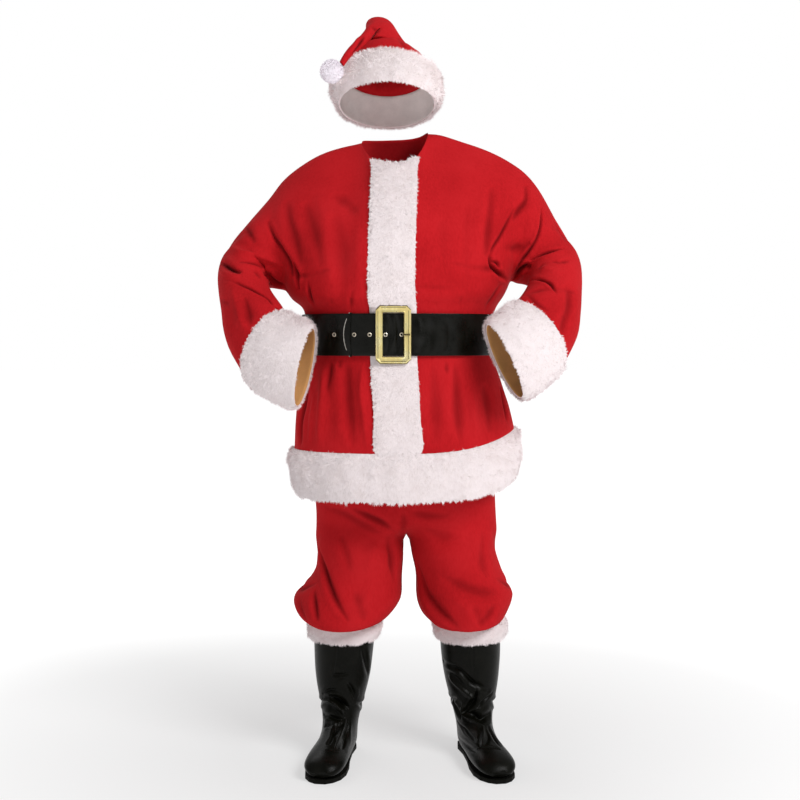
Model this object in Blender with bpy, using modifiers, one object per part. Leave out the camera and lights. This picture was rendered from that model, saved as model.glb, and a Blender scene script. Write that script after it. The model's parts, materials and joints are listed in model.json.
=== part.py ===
# A worn santa suit: hat, jacket, belt, trousers and boots, each piece a wall of cloth, fur or vinyl.
# Metres, +Z up. +X is the wearer's left, -Y is the front. The origin is the middle of the neck opening.
# The tables give heights above the floor; an empty at the floor carries the pieces down to it.
import math
from collections import namedtuple

import bmesh
import bpy
from mathutils import Vector

NECK_HEIGHT = 1.52      # the neck opening's middle above the floor
CLOTH = 0.002           # wall of the red cloth
SEAM = 0.0003           # gap between pieces that are sewn together
VINYL = 0.002           # wall of the boots
FUR = 0.014             # reach of the fur trim above its cloth
FUR_EDGE = 0.007        # reach of the fur at the trim's edges
SQUARE = 2.3            # 2 is an ellipse, more is squarer: the body's sections
TUBE_SIDES = 16         # sides of a sleeve, and twice the rows of an armhole
RIGHT, LEFT = -1, 1     # the wearer's right and left, as signs of X

# Jacket below the armholes. right, left, centre are X; front, back are Y; lift raises the left side.
Body = namedtuple("Body", "height right left centre front back lift")
BODY = [
    Body(0.771, -0.249, 0.296, 0.009, -0.210, 0.187, 0.050),
    Body(0.830, -0.246, 0.286, 0.007, -0.203, 0.181, 0.036),
    Body(0.885, -0.243, 0.273, 0.004, -0.198, 0.177, 0.022),
    Body(0.940, -0.236, 0.259, 0.001, -0.195, 0.173, 0.010),
    Body(0.990, -0.224, 0.246, -0.002, -0.193, 0.168, 0.000),
    Body(1.050, -0.222, 0.244, -0.003, -0.193, 0.166, 0.000),
    Body(1.112, -0.224, 0.246, -0.004, -0.193, 0.166, 0.000),
    Body(1.135, -0.250, 0.268, -0.006, -0.200, 0.174, 0.012),
    Body(1.161, -0.268, 0.285, -0.008, -0.200, 0.178, 0.025),
]
WAIST = BODY[5]
HEM = [
    Body(0.738, -0.250, 0.300, 0.010, -0.212, 0.189, 0.042),
    Body(0.697, -0.246, 0.296, 0.011, -0.212, 0.189, 0.036),
    Body(0.656, -0.236, 0.281, 0.012, -0.208, 0.184, 0.028),
]

# Shoulders: tip is the top of the armhole, ridge pulls the shoulder seam up between neck and tip.
Shoulder = namedtuple("Shoulder", "neck ridge tip")
SHOULDERS = {
    RIGHT: Shoulder((-0.082, 0.010, 1.528), (-0.250, 0.015, 1.500), (-0.312, 0.010, 1.390)),
    LEFT: Shoulder((0.082, 0.010, 1.552), (0.240, 0.015, 1.522), (0.329, 0.010, 1.451)),
}
NECK_FRONT = (0.0, -0.090, 1.460)
NECK_BACK = (0.0, 0.078, 1.545)
PLACKET_HALF = 0.055
FRONT_COLUMNS = 7       # from the centre front to the side seam, the first under the placket
BACK_COLUMNS = 7
NECK_COLUMNS = 2        # how many of those end on the neckline
ARMHOLE_ROWS = TUBE_SIDES // 2

# Tubes: outer and inner are the two sides seen from the front, (X, height); y and deep are depth.
Ring = namedtuple("Ring", "outer inner y deep")
SLEEVES = {
    RIGHT: [
        Ring((-0.357, 1.338), (-0.291, 1.167), 0.004, 0.087),
        Ring((-0.398, 1.286), (-0.309, 1.172), 0.000, 0.083),
        Ring((-0.428, 1.241), (-0.315, 1.175), -0.015, 0.079),
        Ring((-0.435, 1.190), (-0.314, 1.171), -0.042, 0.076),
        Ring((-0.426, 1.136), (-0.304, 1.160), -0.075, 0.073),
        Ring((-0.410, 1.075), (-0.291, 1.145), -0.108, 0.070),
        Ring((-0.388, 1.012), (-0.275, 1.126), -0.143, 0.068),
        Ring((-0.345, 0.944), (-0.265, 1.105), -0.1755, 0.066),
    ],
    LEFT: [
        Ring((0.364, 1.397), (0.304, 1.182), 0.004, 0.089),
        Ring((0.401, 1.331), (0.319, 1.180), 0.000, 0.086),
        Ring((0.436, 1.277), (0.329, 1.176), -0.015, 0.081),
        Ring((0.457, 1.220), (0.331, 1.172), -0.042, 0.078),
        Ring((0.453, 1.155), (0.322, 1.163), -0.075, 0.075),
        Ring((0.442, 1.091), (0.311, 1.153), -0.108, 0.072),
        Ring((0.427, 1.032), (0.297, 1.138), -0.143, 0.070),
        Ring((0.392, 0.975), (0.281, 1.122), -0.177, 0.067),
    ],
}
CUFFS = {
    RIGHT: [
        Ring((-0.306, 0.919), (-0.241, 1.084), -0.188, 0.064),
        Ring((-0.264, 0.896), (-0.216, 1.077), -0.195, 0.062),
        Ring((-0.229, 0.883), (-0.192, 1.066), -0.202, 0.058),
    ],
    LEFT: [
        Ring((0.356, 0.941), (0.262, 1.105), -0.188, 0.066),
        Ring((0.321, 0.916), (0.240, 1.091), -0.195, 0.064),
        Ring((0.297, 0.903), (0.218, 1.074), -0.202, 0.060),
    ],
}

CUFF_SEAM_REACH = 0.004

# Belt: one strap that starts behind the buckle, goes round by the wearer's right and ends in its tail.
BELT_HEIGHT = 0.100
BELT_MIDDLE = 1.051
STRAP = 0.003
STRAP_CLEAR = 0.0063    # strap above the jacket's surface, over the flattened placket
STRAP_RISE = 0.0036     # the tail above the strap below it
STRAP_START = 0.036     # distances along the belt from the centre front
RISE_FROM, RISE_TO = -0.034, 0.034
TAIL_END = 0.212
TIP_LENGTH = 0.036
STRAP_STEPS = 72
BUCKLE_WIDTH, BUCKLE_HEIGHT, BUCKLE_DEPTH = 0.083, 0.137, 0.006
BUCKLE_OPENING_WIDTH, BUCKLE_OPENING_HEIGHT = 0.049, 0.101
BUCKLE_LIFT = -0.0005
EYELETS = [-0.0190, 0.0183, 0.0541, 0.0893, 0.1383]     # along the tail from the buckle
EYELET_OUTER, EYELET_INNER, EYELET_HEIGHT = 0.0052, 0.0028, 0.0011
KEEPER_AT, KEEPER_WIDTH, KEEPER_WALL, KEEPER_CLEAR = 0.1065, 0.018, 0.0015, 0.0010

# Trousers: hips above the fork, then each leg. outer and inner are X at the side and at the inseam.
Hip = namedtuple("Hip", "height right left centre front back lift")
HIPS = [
    Hip(0.990, -0.2200, 0.2420, -0.002, -0.1890, 0.1640, 0.0),
    Hip(0.900, -0.2260, 0.2440, 0.001, -0.1780, 0.1640, 0.0),
    Hip(0.800, -0.2220, 0.2460, 0.008, -0.1640, 0.1660, 0.0),
    Hip(0.710, -0.2100, 0.2480, 0.017, -0.1480, 0.1600, 0.0),
    Hip(0.635, -0.1990, 0.2510, 0.023, -0.1280, 0.1480, 0.0),
    Hip(0.590, -0.1970, 0.2520, 0.026, -0.1080, 0.1200, 0.0),
]
FORK = (0.0280, 0.0, 0.550)
Leg = namedtuple("Leg", "height outer inner front back sag")
LEGS = {
    RIGHT: [
        Leg(0.515, -0.196, 0.0215, -0.112, 0.120, 0.000),
        Leg(0.465, -0.199, 0.0180, -0.112, 0.116, 0.000),
        Leg(0.425, -0.228, 0.0160, -0.120, 0.118, 0.004),
        Leg(0.395, -0.254, 0.0140, -0.132, 0.124, 0.010),
        Leg(0.370, -0.249, -0.0020, -0.142, 0.126, 0.020),
        Leg(0.3590, -0.235, -0.0200, -0.138, 0.120, 0.026),
        Leg(0.3565, -0.220, -0.0340, -0.124, 0.108, 0.018),
        Leg(0.3520, -0.206, -0.0480, -0.104, 0.094, 0.005),
    ],
    LEFT: [
        Leg(0.515, 0.2520, 0.0400, -0.112, 0.120, 0.000),
        Leg(0.465, 0.2660, 0.0510, -0.112, 0.116, 0.000),
        Leg(0.425, 0.2850, 0.0535, -0.120, 0.118, 0.004),
        Leg(0.395, 0.2930, 0.0550, -0.132, 0.124, 0.010),
        Leg(0.370, 0.2830, 0.0640, -0.142, 0.126, 0.020),
        Leg(0.3590, 0.2755, 0.0780, -0.138, 0.120, 0.026),
        Leg(0.3565, 0.2700, 0.0920, -0.124, 0.108, 0.018),
        Leg(0.3520, 0.2640, 0.1080, -0.104, 0.094, 0.005),
    ],
}
LEG_COLUMNS = 8
WAIST_EDGE = Hip(1.030, -0.2184, 0.2404, -0.0027, -0.1876, 0.1618, 0.0)

# Fur cuffs of the trousers, from the cloth's seam down over the boot tops: the backing round the shaft.
LegCuff = namedtuple("LegCuff", "height half_x front back reach sag")
LEG_CUFF = [
    LegCuff(0.3330, 0.0845, -0.084, 0.083, 0.0095, 0.016),
    LegCuff(0.3200, 0.0835, -0.083, 0.083, 0.013, 0.012),
    LegCuff(0.3080, 0.0805, -0.081, 0.081, 0.011, 0.006),
    LegCuff(0.2930, 0.0793, -0.0798, 0.0798, 0.006, 0.000),
]
LEG_SEAM_REACH = 0.0010

# Boots: front and back of each section as (forward, height) along the foot, and its half width.
Section = namedtuple("Section", "front back half")
BOOT_SHAFT = [
    Section((0.076, 0.310), (-0.076, 0.310), 0.0755),
    Section((0.074, 0.262), (-0.075, 0.262), 0.0735),
    Section((0.070, 0.210), (-0.073, 0.208), 0.0685),
    Section((0.065, 0.162), (-0.070, 0.158), 0.0600),
    Section((0.064, 0.122), (-0.067, 0.112), 0.0500),
    Section((0.074, 0.094), (-0.066, 0.074), 0.0440),
]
BOOT_FOOT = [
    Section((0.098, 0.082), (-0.073, 0.036), 0.0420),
    Section((0.128, 0.073), (-0.066, 0.0113), 0.0430),
    Section((0.158, 0.066), (-0.005, 0.0113), 0.0450),
    Section((0.190, 0.060), (0.085, 0.0113), 0.0480),
    Section((0.218, 0.052), (0.165, 0.0113), 0.0480),
    Section((0.238, 0.041), (0.215, 0.0113), 0.0400),
    Section((0.247, 0.028), (0.240, 0.0145), 0.0240),
]
Boot = namedtuple("Boot", "ankle y turn lean")
BOOTS = {RIGHT: Boot(-0.1400, -0.008, 8.0, 0.0125), LEFT: Boot(0.2020, -0.008, 11.0, -0.0140)}
LEAN_HEIGHT = 0.31
BOOT_SIDES = 16
SOLE_HEIGHT = 0.0100
SOLE_OUTLINE = [(-0.072, 0.016), (-0.060, 0.031), (-0.030, 0.038), (0.020, 0.036), (0.075, 0.040),
                (0.130, 0.048), (0.180, 0.050), (0.215, 0.043), (0.238, 0.029), (0.250, 0.012)]

# Hat: the cone folds over at its peak, and its tail ends at the pom-pom.
HAT_CONE = [
    Ring((0.070, 1.718), (-0.110, 1.718), 0.004, 0.104),
    Ring((0.046, 1.738), (-0.100, 1.736), 0.013, 0.091),
    Ring((0.031, 1.761), (-0.086, 1.755), 0.018, 0.076),
    Ring((0.016, 1.785), (-0.075, 1.776), 0.017, 0.060),
    Ring((0.004, 1.804), (-0.066, 1.789), 0.012, 0.048),
    Ring((-0.008, 1.820), (-0.056, 1.794), 0.003, 0.038),
    Ring((-0.024, 1.828), (-0.052, 1.797), -0.008, 0.030),
    Ring((-0.042, 1.827), (-0.054, 1.797), -0.020, 0.024),
    Ring((-0.056, 1.815), (-0.052, 1.790), -0.034, 0.018),
    Ring((-0.067, 1.798), (-0.055, 1.776), -0.049, 0.015),
    Ring((-0.079, 1.778), (-0.062, 1.762), -0.062, 0.013),
    Ring((-0.093, 1.760), (-0.075, 1.748), -0.076, 0.011),
    Ring((-0.106, 1.744), (-0.091, 1.733), -0.090, 0.009),
    Ring((-0.120, 1.725), (-0.108, 1.716), -0.099, 0.008),
    Ring((-0.1309, 1.7047), (-0.1237, 1.6951), -0.1025, 0.006),
]
BAND_CENTRE = (-0.0195, 0.0)
BAND_TILT = 0.31        # the band sits lower at the back
Band = namedtuple("Band", "height half_x half_y reach")
BAND = [
    Band(1.6200, 0.117, 0.118, 0.008),
    Band(1.6430, 0.121, 0.122, 0.017),
    Band(1.6700, 0.118, 0.120, 0.017),
    Band(1.6970, 0.107, 0.113, 0.008),
]
HAT_SIDES = 24
POMPOM = (-0.1510, -0.1025, 1.682)
POMPOM_RADIUS = 0.029

RED = (0.56, 0.012, 0.016, 1)
WHITE = (0.86, 0.82, 0.80, 1)
BLACK = (0.012, 0.011, 0.010, 1)
BRASS = (0.80, 0.62, 0.25, 1)


def clear_scene():
    for obj in list(bpy.data.objects):
        bpy.data.objects.remove(obj)


def finish(obj, finish_name):
    """Gives an object its own material and its place under the floor empty."""
    colour, roughness, metallic = FINISHES[finish_name]
    material = bpy.data.materials.new(obj.name + "_" + finish_name)
    material.use_nodes = True
    shader = material.node_tree.nodes["Principled BSDF"]
    shader.inputs["Base Color"].default_value = colour
    shader.inputs["Roughness"].default_value = roughness
    shader.inputs["Metallic"].default_value = metallic
    obj.data.materials.append(material)
    obj.parent = floor
    suit.objects.link(obj)


def bezier(a, b, c, d, t):
    u = 1 - t
    return a * u**3 + b * (3 * u * u * t) + c * (3 * u * t * t) + d * t**3


def quadratic(a, b, c, t):
    return a * (1 - t) ** 2 + b * (2 * t * (1 - t)) + c * t * t


def key(point):
    return tuple(round(value, 5) for value in point)


def grid_faces(rows, closed):
    """Quads of a grid of anything, rows by columns; closed joins the last column to the first."""
    for low, high in zip(rows, rows[1:]):
        count = len(low)
        for i in range(count if closed else count - 1):
            j = (i + 1) % count
            yield low[i], low[j], high[j], high[i]


def sewn_normals(grids, closed_grids=()):
    """Normals of pieces sewn together, by place, long enough to keep the wall even at a bend.
    Pieces that meet share them, so that their walls end on one mitre."""
    form = bmesh.new()
    for grid, closed in [(g, False) for g in grids] + [(g, True) for g in closed_grids]:
        made = [[form.verts.new(point) for point in row] for row in grid]
        for corners in grid_faces(made, closed):
            if len({key(v.co) for v in corners}) > 2:
                form.faces.new(corners)
    bmesh.ops.remove_doubles(form, verts=form.verts, dist=0.00002)
    bmesh.ops.recalc_face_normals(form, faces=form.faces)
    form.normal_update()
    middle = sum((v.co for v in form.verts), Vector()) / len(form.verts)
    outward = sum((v.co - middle).dot(v.normal) for v in form.verts)
    sign = 1 if outward > 0 else -1
    normals = {key(v.co): v.normal * sign * min(v.calc_shell_factor(), 1.6) for v in form.verts}
    form.free()
    return normals


def drawn_back(edge, inner):
    """An edge's points moved towards the next line of points, until they are half a seam clear of the edge."""
    last = len(edge) - 1
    moved = []
    for i, (point, beside) in enumerate(zip(edge, inner)):
        inward = beside - point
        along = edge[min(i + 1, last)] - edge[max(i - 1, 0)]
        clear = (inward - inward.project(along)).length
        moved.append(point + inward * (SEAM / 2 / max(clear, inward.length / 3)))
    return moved


def pulled_in(grid, closed):
    """The grid with its edges drawn back by half a seam's gap."""
    rows = [list(row) for row in grid]
    rows[0] = drawn_back(grid[0], grid[1])
    rows[-1] = drawn_back(grid[-1], grid[-2])
    if not closed:
        first = drawn_back([row[0] for row in rows], [row[1] for row in rows])
        final = drawn_back([row[-1] for row in rows], [row[-2] for row in rows])
        for row, start, end in zip(rows, first, final):
            row[0], row[-1] = start, end
    return rows


def wall(name, grid, normals, low, high, finish_name, closed=False, capped=False):
    """A wall between two distances from a grid's surface; low and high may have a value for each row.
    capped closes the last row, as at a toe."""
    def reach(distance, row):
        return distance[row] if isinstance(distance, list) else distance
    shape = bmesh.new()
    skins = []
    lines = [[normals[key(point)] for point in row] for row in grid]
    for distance in (low, high):
        skins.append([
            [shape.verts.new(point + normal * reach(distance, r)) for point, normal in zip(row, line)]
            for r, (row, line) in enumerate(zip(pulled_in(grid, closed), lines))])
    if capped:
        for inner, before in zip(skins[0][-1], skins[0][-2]):
            inner.co += (before.co - inner.co).normalized() * (high - low)
    for skin in skins:
        for corners in grid_faces(skin, closed):
            shape.faces.new(corners)
        if capped:
            shape.faces.new(skin[-1])
    edges = [[skin[0] for skin in skins]]
    if not capped:
        edges.append([skin[-1] for skin in skins])
    if not closed:
        edges.append([[row[0] for row in skin] for skin in skins])
        edges.append([[row[-1] for row in skin] for skin in skins])
    for edge in edges:
        for corners in grid_faces(edge, closed):
            shape.faces.new(corners)
    bmesh.ops.recalc_face_normals(shape, faces=shape.faces)
    mesh = bpy.data.meshes.new(name)
    shape.to_mesh(mesh)
    shape.free()
    mesh.shade_smooth()
    mesh.set_sharp_from_angle(angle=math.radians(50))
    obj = bpy.data.objects.new(name, mesh)
    finish(obj, finish_name)
    return obj


def body_point(row, side, turn):
    """A point of a section; turn is 0 at the centre front, 90 degrees at the side, 180 at the back."""
    across = abs(math.sin(turn)) ** (2 / SQUARE)
    along = abs(math.cos(turn)) ** (2 / SQUARE)
    reach = (row.left if side == LEFT else row.right) - row.centre
    depth = row.front if turn < math.pi / 2 else row.back
    raised = row.lift * max(0.0, side * across) ** 3
    return Vector((row.centre + reach * across, depth * along, row.height + raised))


def front_turns(row, side):
    reach = abs((row.left if side == LEFT else row.right) - row.centre)
    first = math.asin((PLACKET_HALF / reach) ** (SQUARE / 2))
    rest = FRONT_COLUMNS - 1
    return [0.0] + [first + (math.pi / 2 - first) * i / rest for i in range(rest + 1)]


def back_turns():
    return [math.pi - math.pi / 2 * i / BACK_COLUMNS for i in range(BACK_COLUMNS + 1)]


def neck_point(side, share, middle):
    """A point of the neckline; share is the sine of its turn from the middle to the shoulder."""
    end = Vector(SHOULDERS[side].neck)
    along = math.sqrt(1 - share * share)
    return Vector((end.x * share, end.y + (middle[1] - end.y) * along, end.z + (middle[2] - end.z) * along))


def top_edge(side, middle, shares):
    """The neckline and the shoulder seam, a point for each column."""
    shoulder = SHOULDERS[side]
    edge = [neck_point(side, share, middle) for share in shares]
    seams = FRONT_COLUMNS - NECK_COLUMNS
    for i in range(1, seams + 1):
        edge.append(quadratic(*(Vector(p) for p in (shoulder.neck, shoulder.ridge, shoulder.tip)), i / seams))
    return edge


def yoke(chest, top, facing):
    """Rows from the chest up to the neck and shoulder; facing is -1 in front and 1 behind.
    The last column follows the armhole."""
    rows = []
    last = len(chest) - 1
    for r in range(1, ARMHOLE_ROWS + 1):
        row = []
        for i, (low, high) in enumerate(zip(chest, top)):
            side = (i / last) ** 3
            rise = Vector((0, facing * 0.006, 0.125)).lerp(Vector((0, facing * 0.125, 0.020)), side)
            arrive = Vector((0, facing * 0.045, -0.055)).lerp(Vector((0, facing * 0.105, -0.050)), i / last)
            row.append(bezier(low, low + rise, high + arrive, high, r / ARMHOLE_ROWS))
        rows.append(row)
    return rows


def front_panel(side):
    rows = [[body_point(row, side, turn) for turn in front_turns(row, side)] for row in BODY]
    end = abs(SHOULDERS[side].neck[0])
    top = top_edge(side, NECK_FRONT, [0.0, PLACKET_HALF / end, 1.0])
    return rows + yoke(rows[-1], top, -1)


def back_half(side):
    rows = [[body_point(row, side, turn) for turn in back_turns()] for row in BODY]
    top = top_edge(side, NECK_BACK, [0.0, math.sin(math.radians(48)), 1.0])
    return rows + yoke(rows[-1], top, 1)


def whole_ring(row):
    """A section all round, from the wearer's right side over the front, on the panels' own columns."""
    front = [body_point(row, RIGHT, turn) for turn in front_turns(row, RIGHT)[::-1]]
    front += [body_point(row, LEFT, turn) for turn in front_turns(row, LEFT)[1:]]
    back = [body_point(row, LEFT, turn) for turn in back_turns()[::-1]]
    back += [body_point(row, RIGHT, turn) for turn in back_turns()[1:]]
    return front + back[1:-1]


def tube_rows(rings, sides=TUBE_SIDES):
    """Rows of a tube through rings given by their outer and inner sides, square to its own line."""
    ends = [(Vector((r.outer[0], r.y, r.outer[1])), Vector((r.inner[0], r.y, r.inner[1]))) for r in rings]
    centres = [(outer + inner) / 2 for outer, inner in ends]
    rows = []
    for i, (ring, (outer, inner)) in enumerate(zip(rings, ends)):
        along = centres[min(i + 1, len(rings) - 1)] - centres[max(i - 1, 0)]
        across = (outer - inner) / 2
        front = along.cross(across).normalized() * ring.deep
        if front.y > 0:
            front.negate()
        rows.append([
            centres[i] + across * math.cos(a) + front * math.sin(a)
            for a in (2 * math.pi * k / sides for k in range(sides))])
    return rows


def armhole(front, back):
    """The armhole's points from the shoulder down the front to the armpit, and up the back."""
    down = [row[-1] for row in front[len(BODY) - 1:]][::-1]
    up = [row[-1] for row in back[len(BODY) - 1:]]
    return down + up[1:-1]


def rounded_reach(rows):
    """Fur stands lower at the trim's two edges."""
    return [FUR_EDGE] + [FUR] * (rows - 2) + [FUR_EDGE]


def make_jacket():
    fronts = {side: front_panel(side) for side in (RIGHT, LEFT)}
    backs = {side: back_half(side) for side in (RIGHT, LEFT)}
    back = [left[::-1] + right[1:] for left, right in zip(backs[LEFT], backs[RIGHT])]
    sleeves = {side: [armhole(fronts[side], backs[side])] + tube_rows(SLEEVES[side]) for side in (RIGHT, LEFT)}
    cuffs = {side: [sleeves[side][-1]] + tube_rows(CUFFS[side]) for side in (RIGHT, LEFT)}
    hem = [whole_ring(row) for row in [BODY[0]] + HEM]
    tubes = list(sleeves.values()) + list(cuffs.values()) + [hem]
    normals = sewn_normals([fronts[RIGHT], fronts[LEFT], back], tubes)
    half = CLOTH / 2
    for side, word in ((RIGHT, "right"), (LEFT, "left")):
        wall("jacket_front_" + word, fronts[side], normals, -half, half, "cloth")
        wall("sleeve_" + word, sleeves[side], normals, -half, half, "cloth", closed=True)
        reach = [CUFF_SEAM_REACH] + rounded_reach(len(cuffs[side]))[1:]
        wall("cuff_fur_" + word, cuffs[side], normals, -half, reach, "fur", closed=True)
    wall("jacket_back", back, normals, -half, half, "cloth")
    wall("hem_fur", hem, normals, -half, rounded_reach(len(hem)), "fur", closed=True)
    make_placket(fronts, normals)


def make_placket(fronts, normals):
    """The fur strip over the front edges, from the neckline to the hem band, flat under the belt."""
    rows = [[right[1], (right[0] + left[0]) / 2, left[1]] for right, left in zip(fronts[RIGHT], fronts[LEFT])]
    low = CLOTH / 2 + 2 * SEAM
    under_belt = [abs(row[1].z - BELT_MIDDLE) < BELT_HEIGHT / 2 + 0.012 for row in rows]
    high = [0.0055 if flat else FUR for flat in under_belt]
    wall("placket_fur", rows, normals, low, high, "fur")


class BeltLine:
    """The jacket's waist as a line measured from the centre front towards the wearer's right."""

    def __init__(self):
        turns = [math.pi * i / 90 for i in range(91)]
        right = [body_point(WAIST, RIGHT, turn) for turn in turns]
        left = [body_point(WAIST, LEFT, turn) for turn in turns]
        self.points = right + left[-2::-1]
        self.places = [0.0]
        for a, b in zip(self.points, self.points[1:]):
            self.places.append(self.places[-1] + (b - a).length)
        self.length = self.places[-1]

    def at(self, place, lift, height=BELT_MIDDLE):
        """A point that far along, off the jacket, and the way out there."""
        place %= self.length
        i = max(k for k, start in enumerate(self.places[:-1]) if start <= place)
        a, b = self.points[i], self.points[i + 1]
        point = a.lerp(b, (place - self.places[i]) / (self.places[i + 1] - self.places[i]))
        before, after = self.points[i - 1 if i else -2], self.points[(i + 2) % len(self.points)]
        along = (after - before).normalized()
        out = Vector((along.y, -along.x, 0))
        if out.dot(Vector((point.x, point.y, 0))) < 0:
            out.negate()
        return Vector((point.x, point.y, height)) + out * lift, out


def strap_lift(place, length):
    """The strap's height off the jacket: it rises through the buckle on to its own first turn."""
    share = (place - length - RISE_FROM) / (RISE_TO - RISE_FROM)
    share = min(1.0, max(0.0, share))
    return STRAP_CLEAR + STRAP_RISE * share * share * (3 - 2 * share)


def make_strap(line):
    end = line.length + TAIL_END
    straight = end - TIP_LENGTH
    places = [STRAP_START + (straight - STRAP_START) * i / STRAP_STEPS for i in range(STRAP_STEPS + 1)]
    places += [line.length + RISE_FROM / 2, line.length, line.length + RISE_TO / 2, line.length + RISE_TO]
    places = sorted(places)
    halves = [BELT_HEIGHT / 2] * len(places)
    for angle in (25, 45, 62, 76):
        places.append(straight + TIP_LENGTH * math.sin(math.radians(angle)))
        halves.append(BELT_HEIGHT / 2 * math.cos(math.radians(angle)) ** 0.6)
    rows, normals = [], {}
    for place, half in zip(places, halves):
        point, out = line.at(place, strap_lift(place, line.length))
        row = [point - Vector((0, 0, half)), point + Vector((0, 0, half))]
        normals.update({key(p): out for p in row})
        rows.append(row)
    wall("belt_strap", rows, normals, 0.0, STRAP, "leather")


def block(name, size, place, turn=0.0):
    bpy.ops.mesh.primitive_cube_add(size=1)
    obj = bpy.context.active_object
    obj.name = obj.data.name = name
    obj.data.transform(obj.matrix_world)
    for vertex in obj.data.vertices:
        vertex.co = (vertex.co.x * size[0], vertex.co.y * size[1], vertex.co.z * size[2])
    obj.location = place
    obj.rotation_euler.z = turn
    for collection in list(obj.users_collection):
        collection.objects.unlink(obj)
    return obj


def cut(obj, cutter):
    cutter.hide_render = True
    cutter.display_type = "WIRE"
    cutter.parent = floor
    cutters.objects.link(cutter)
    opening = obj.modifiers.new("opening", "BOOLEAN")
    opening.operation = "DIFFERENCE"
    opening.solver = "EXACT"
    opening.object = cutter


def make_keeper(line):
    """A loop of strap round both turns of the belt."""
    lift = strap_lift(line.length + KEEPER_AT, line.length)
    inside = STRAP_CLEAR - KEEPER_CLEAR
    outside = lift + STRAP + KEEPER_CLEAR
    point, out = line.at(KEEPER_AT, (inside + outside) / 2)
    turn = math.atan2(out.y, out.x) + math.pi / 2
    opening = (0.03, outside - inside, BELT_HEIGHT + 0.0012)
    size = (KEEPER_WIDTH, opening[1] + 2 * KEEPER_WALL, opening[2] + 2 * KEEPER_WALL)
    keeper = block("belt_keeper", size, point, turn)
    cut(keeper, block("belt_keeper_opening", opening, point, turn))
    finish(keeper, "leather")


def make_buckle(line):
    point, out = line.at(0, STRAP_CLEAR + STRAP_RISE + STRAP + BUCKLE_LIFT + BUCKLE_DEPTH / 2)
    frame = block("buckle_frame", (BUCKLE_WIDTH, BUCKLE_DEPTH, BUCKLE_HEIGHT), point)
    opening = (BUCKLE_OPENING_WIDTH, BUCKLE_DEPTH * 3, BUCKLE_OPENING_HEIGHT)
    cut(frame, block("buckle_opening", opening, point))
    edges = frame.modifiers.new("edges", "BEVEL")
    edges.width = 0.0018
    edges.segments = 2
    edges.limit_method = "ANGLE"
    finish(frame, "brass")
    bpy.ops.mesh.primitive_cylinder_add(vertices=12, radius=0.0019, depth=0.017)
    prong = bpy.context.active_object
    prong.name = prong.data.name = "buckle_prong"
    prong.rotation_euler.y = math.pi / 2
    eyelet, _ = line.at(EYELETS[0], 0)
    prong.location = (eyelet.x + 0.012, point.y - BUCKLE_DEPTH / 2 - 0.0019 - SEAM, BELT_MIDDLE)
    for collection in list(prong.users_collection):
        collection.objects.unlink(prong)
    finish(prong, "brass")


def make_eyelets(line):
    """Turned brass rings on the face of the tail, on a Screw round their own axis."""
    for number, along in enumerate(EYELETS):
        place = line.length + along
        point, out = line.at(place, strap_lift(place, line.length) + STRAP + 0.0004)
        radius, hole, height = EYELET_OUTER, EYELET_INNER, EYELET_HEIGHT
        profile = [(radius, 0, height * 0.4), (radius, 0, 0), (hole, 0, 0), (hole, 0, height * 0.7),
                   ((radius + hole) / 2, 0, height)]
        mesh = bpy.data.meshes.new(f"eyelet_{number + 1}")
        mesh.from_pydata(profile, [(i, (i + 1) % len(profile)) for i in range(len(profile))], [])
        eyelet = bpy.data.objects.new(mesh.name, mesh)
        turned = eyelet.modifiers.new("turned", "SCREW")
        turned.steps = turned.render_steps = 12
        turned.use_merge_vertices = True
        turned.merge_threshold = 0.00002
        eyelet.location = point
        eyelet.rotation_euler = out.to_track_quat("Z", "Y").to_euler()
        finish(eyelet, "brass")


def leg_point(row, turn, facing):
    """A point of half a leg's section; turn is -90 degrees at the inseam and 90 at the side."""
    middle, reach = (row.outer + row.inner) / 2, (row.outer - row.inner) / 2
    along = math.cos(turn)
    depth = row.front if facing < 0 else row.back
    return Vector((middle + reach * math.sin(turn), depth * along, row.height - row.sag * along * (facing < 0)))


def leg_panel(side, facing):
    """Half a trouser leg from the waist to the fur cuff; columns run from the centre or inseam out."""
    rows = []
    for hip in HIPS:
        turns = [math.pi / 2 * i / LEG_COLUMNS for i in range(LEG_COLUMNS + 1)]
        if facing > 0:
            turns = [math.pi - turn for turn in turns]
        rows.append([body_point(hip, side, turn) for turn in turns])
    fork = Vector(FORK)
    top, first = rows[-1], LEGS[side][0]
    turns = [math.pi * (i / LEG_COLUMNS - 0.5) for i in range(LEG_COLUMNS + 1)]
    legs = [[leg_point(leg, turn, facing) for turn in turns] for leg in LEGS[side]]
    between = [(a + b) / 2 for a, b in zip(top, legs[0])]
    rows.append([fork] + between[1:])
    return rows + legs


def make_trousers():
    panels = {(side, facing): leg_panel(side, facing) for side in (RIGHT, LEFT) for facing in (-1, 1)}
    cuffs = {side: [leg_seam(panels, side)] + leg_cuff_rows(side) for side in (RIGHT, LEFT)}
    waistband = [waist_ring(HIPS[0]), waist_ring(WAIST_EDGE)]
    normals = sewn_normals(panels.values(), list(cuffs.values()) + [waistband])
    for (side, facing), rows in panels.items():
        name = "trouser_" + ("front_" if facing < 0 else "back_") + ("right" if side == RIGHT else "left")
        wall(name, rows, normals, -CLOTH / 2, CLOTH / 2, "cloth")
    reach = [LEG_SEAM_REACH] + [row.reach for row in LEG_CUFF]
    for side, word in ((RIGHT, "right"), (LEFT, "left")):
        wall("trouser_cuff_fur_" + word, cuffs[side], normals, -CLOTH / 2, reach, "fur", closed=True)
    wall("trouser_waistband", waistband, normals, -CLOTH / 2, CLOTH / 2, "cloth", closed=True)


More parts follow.
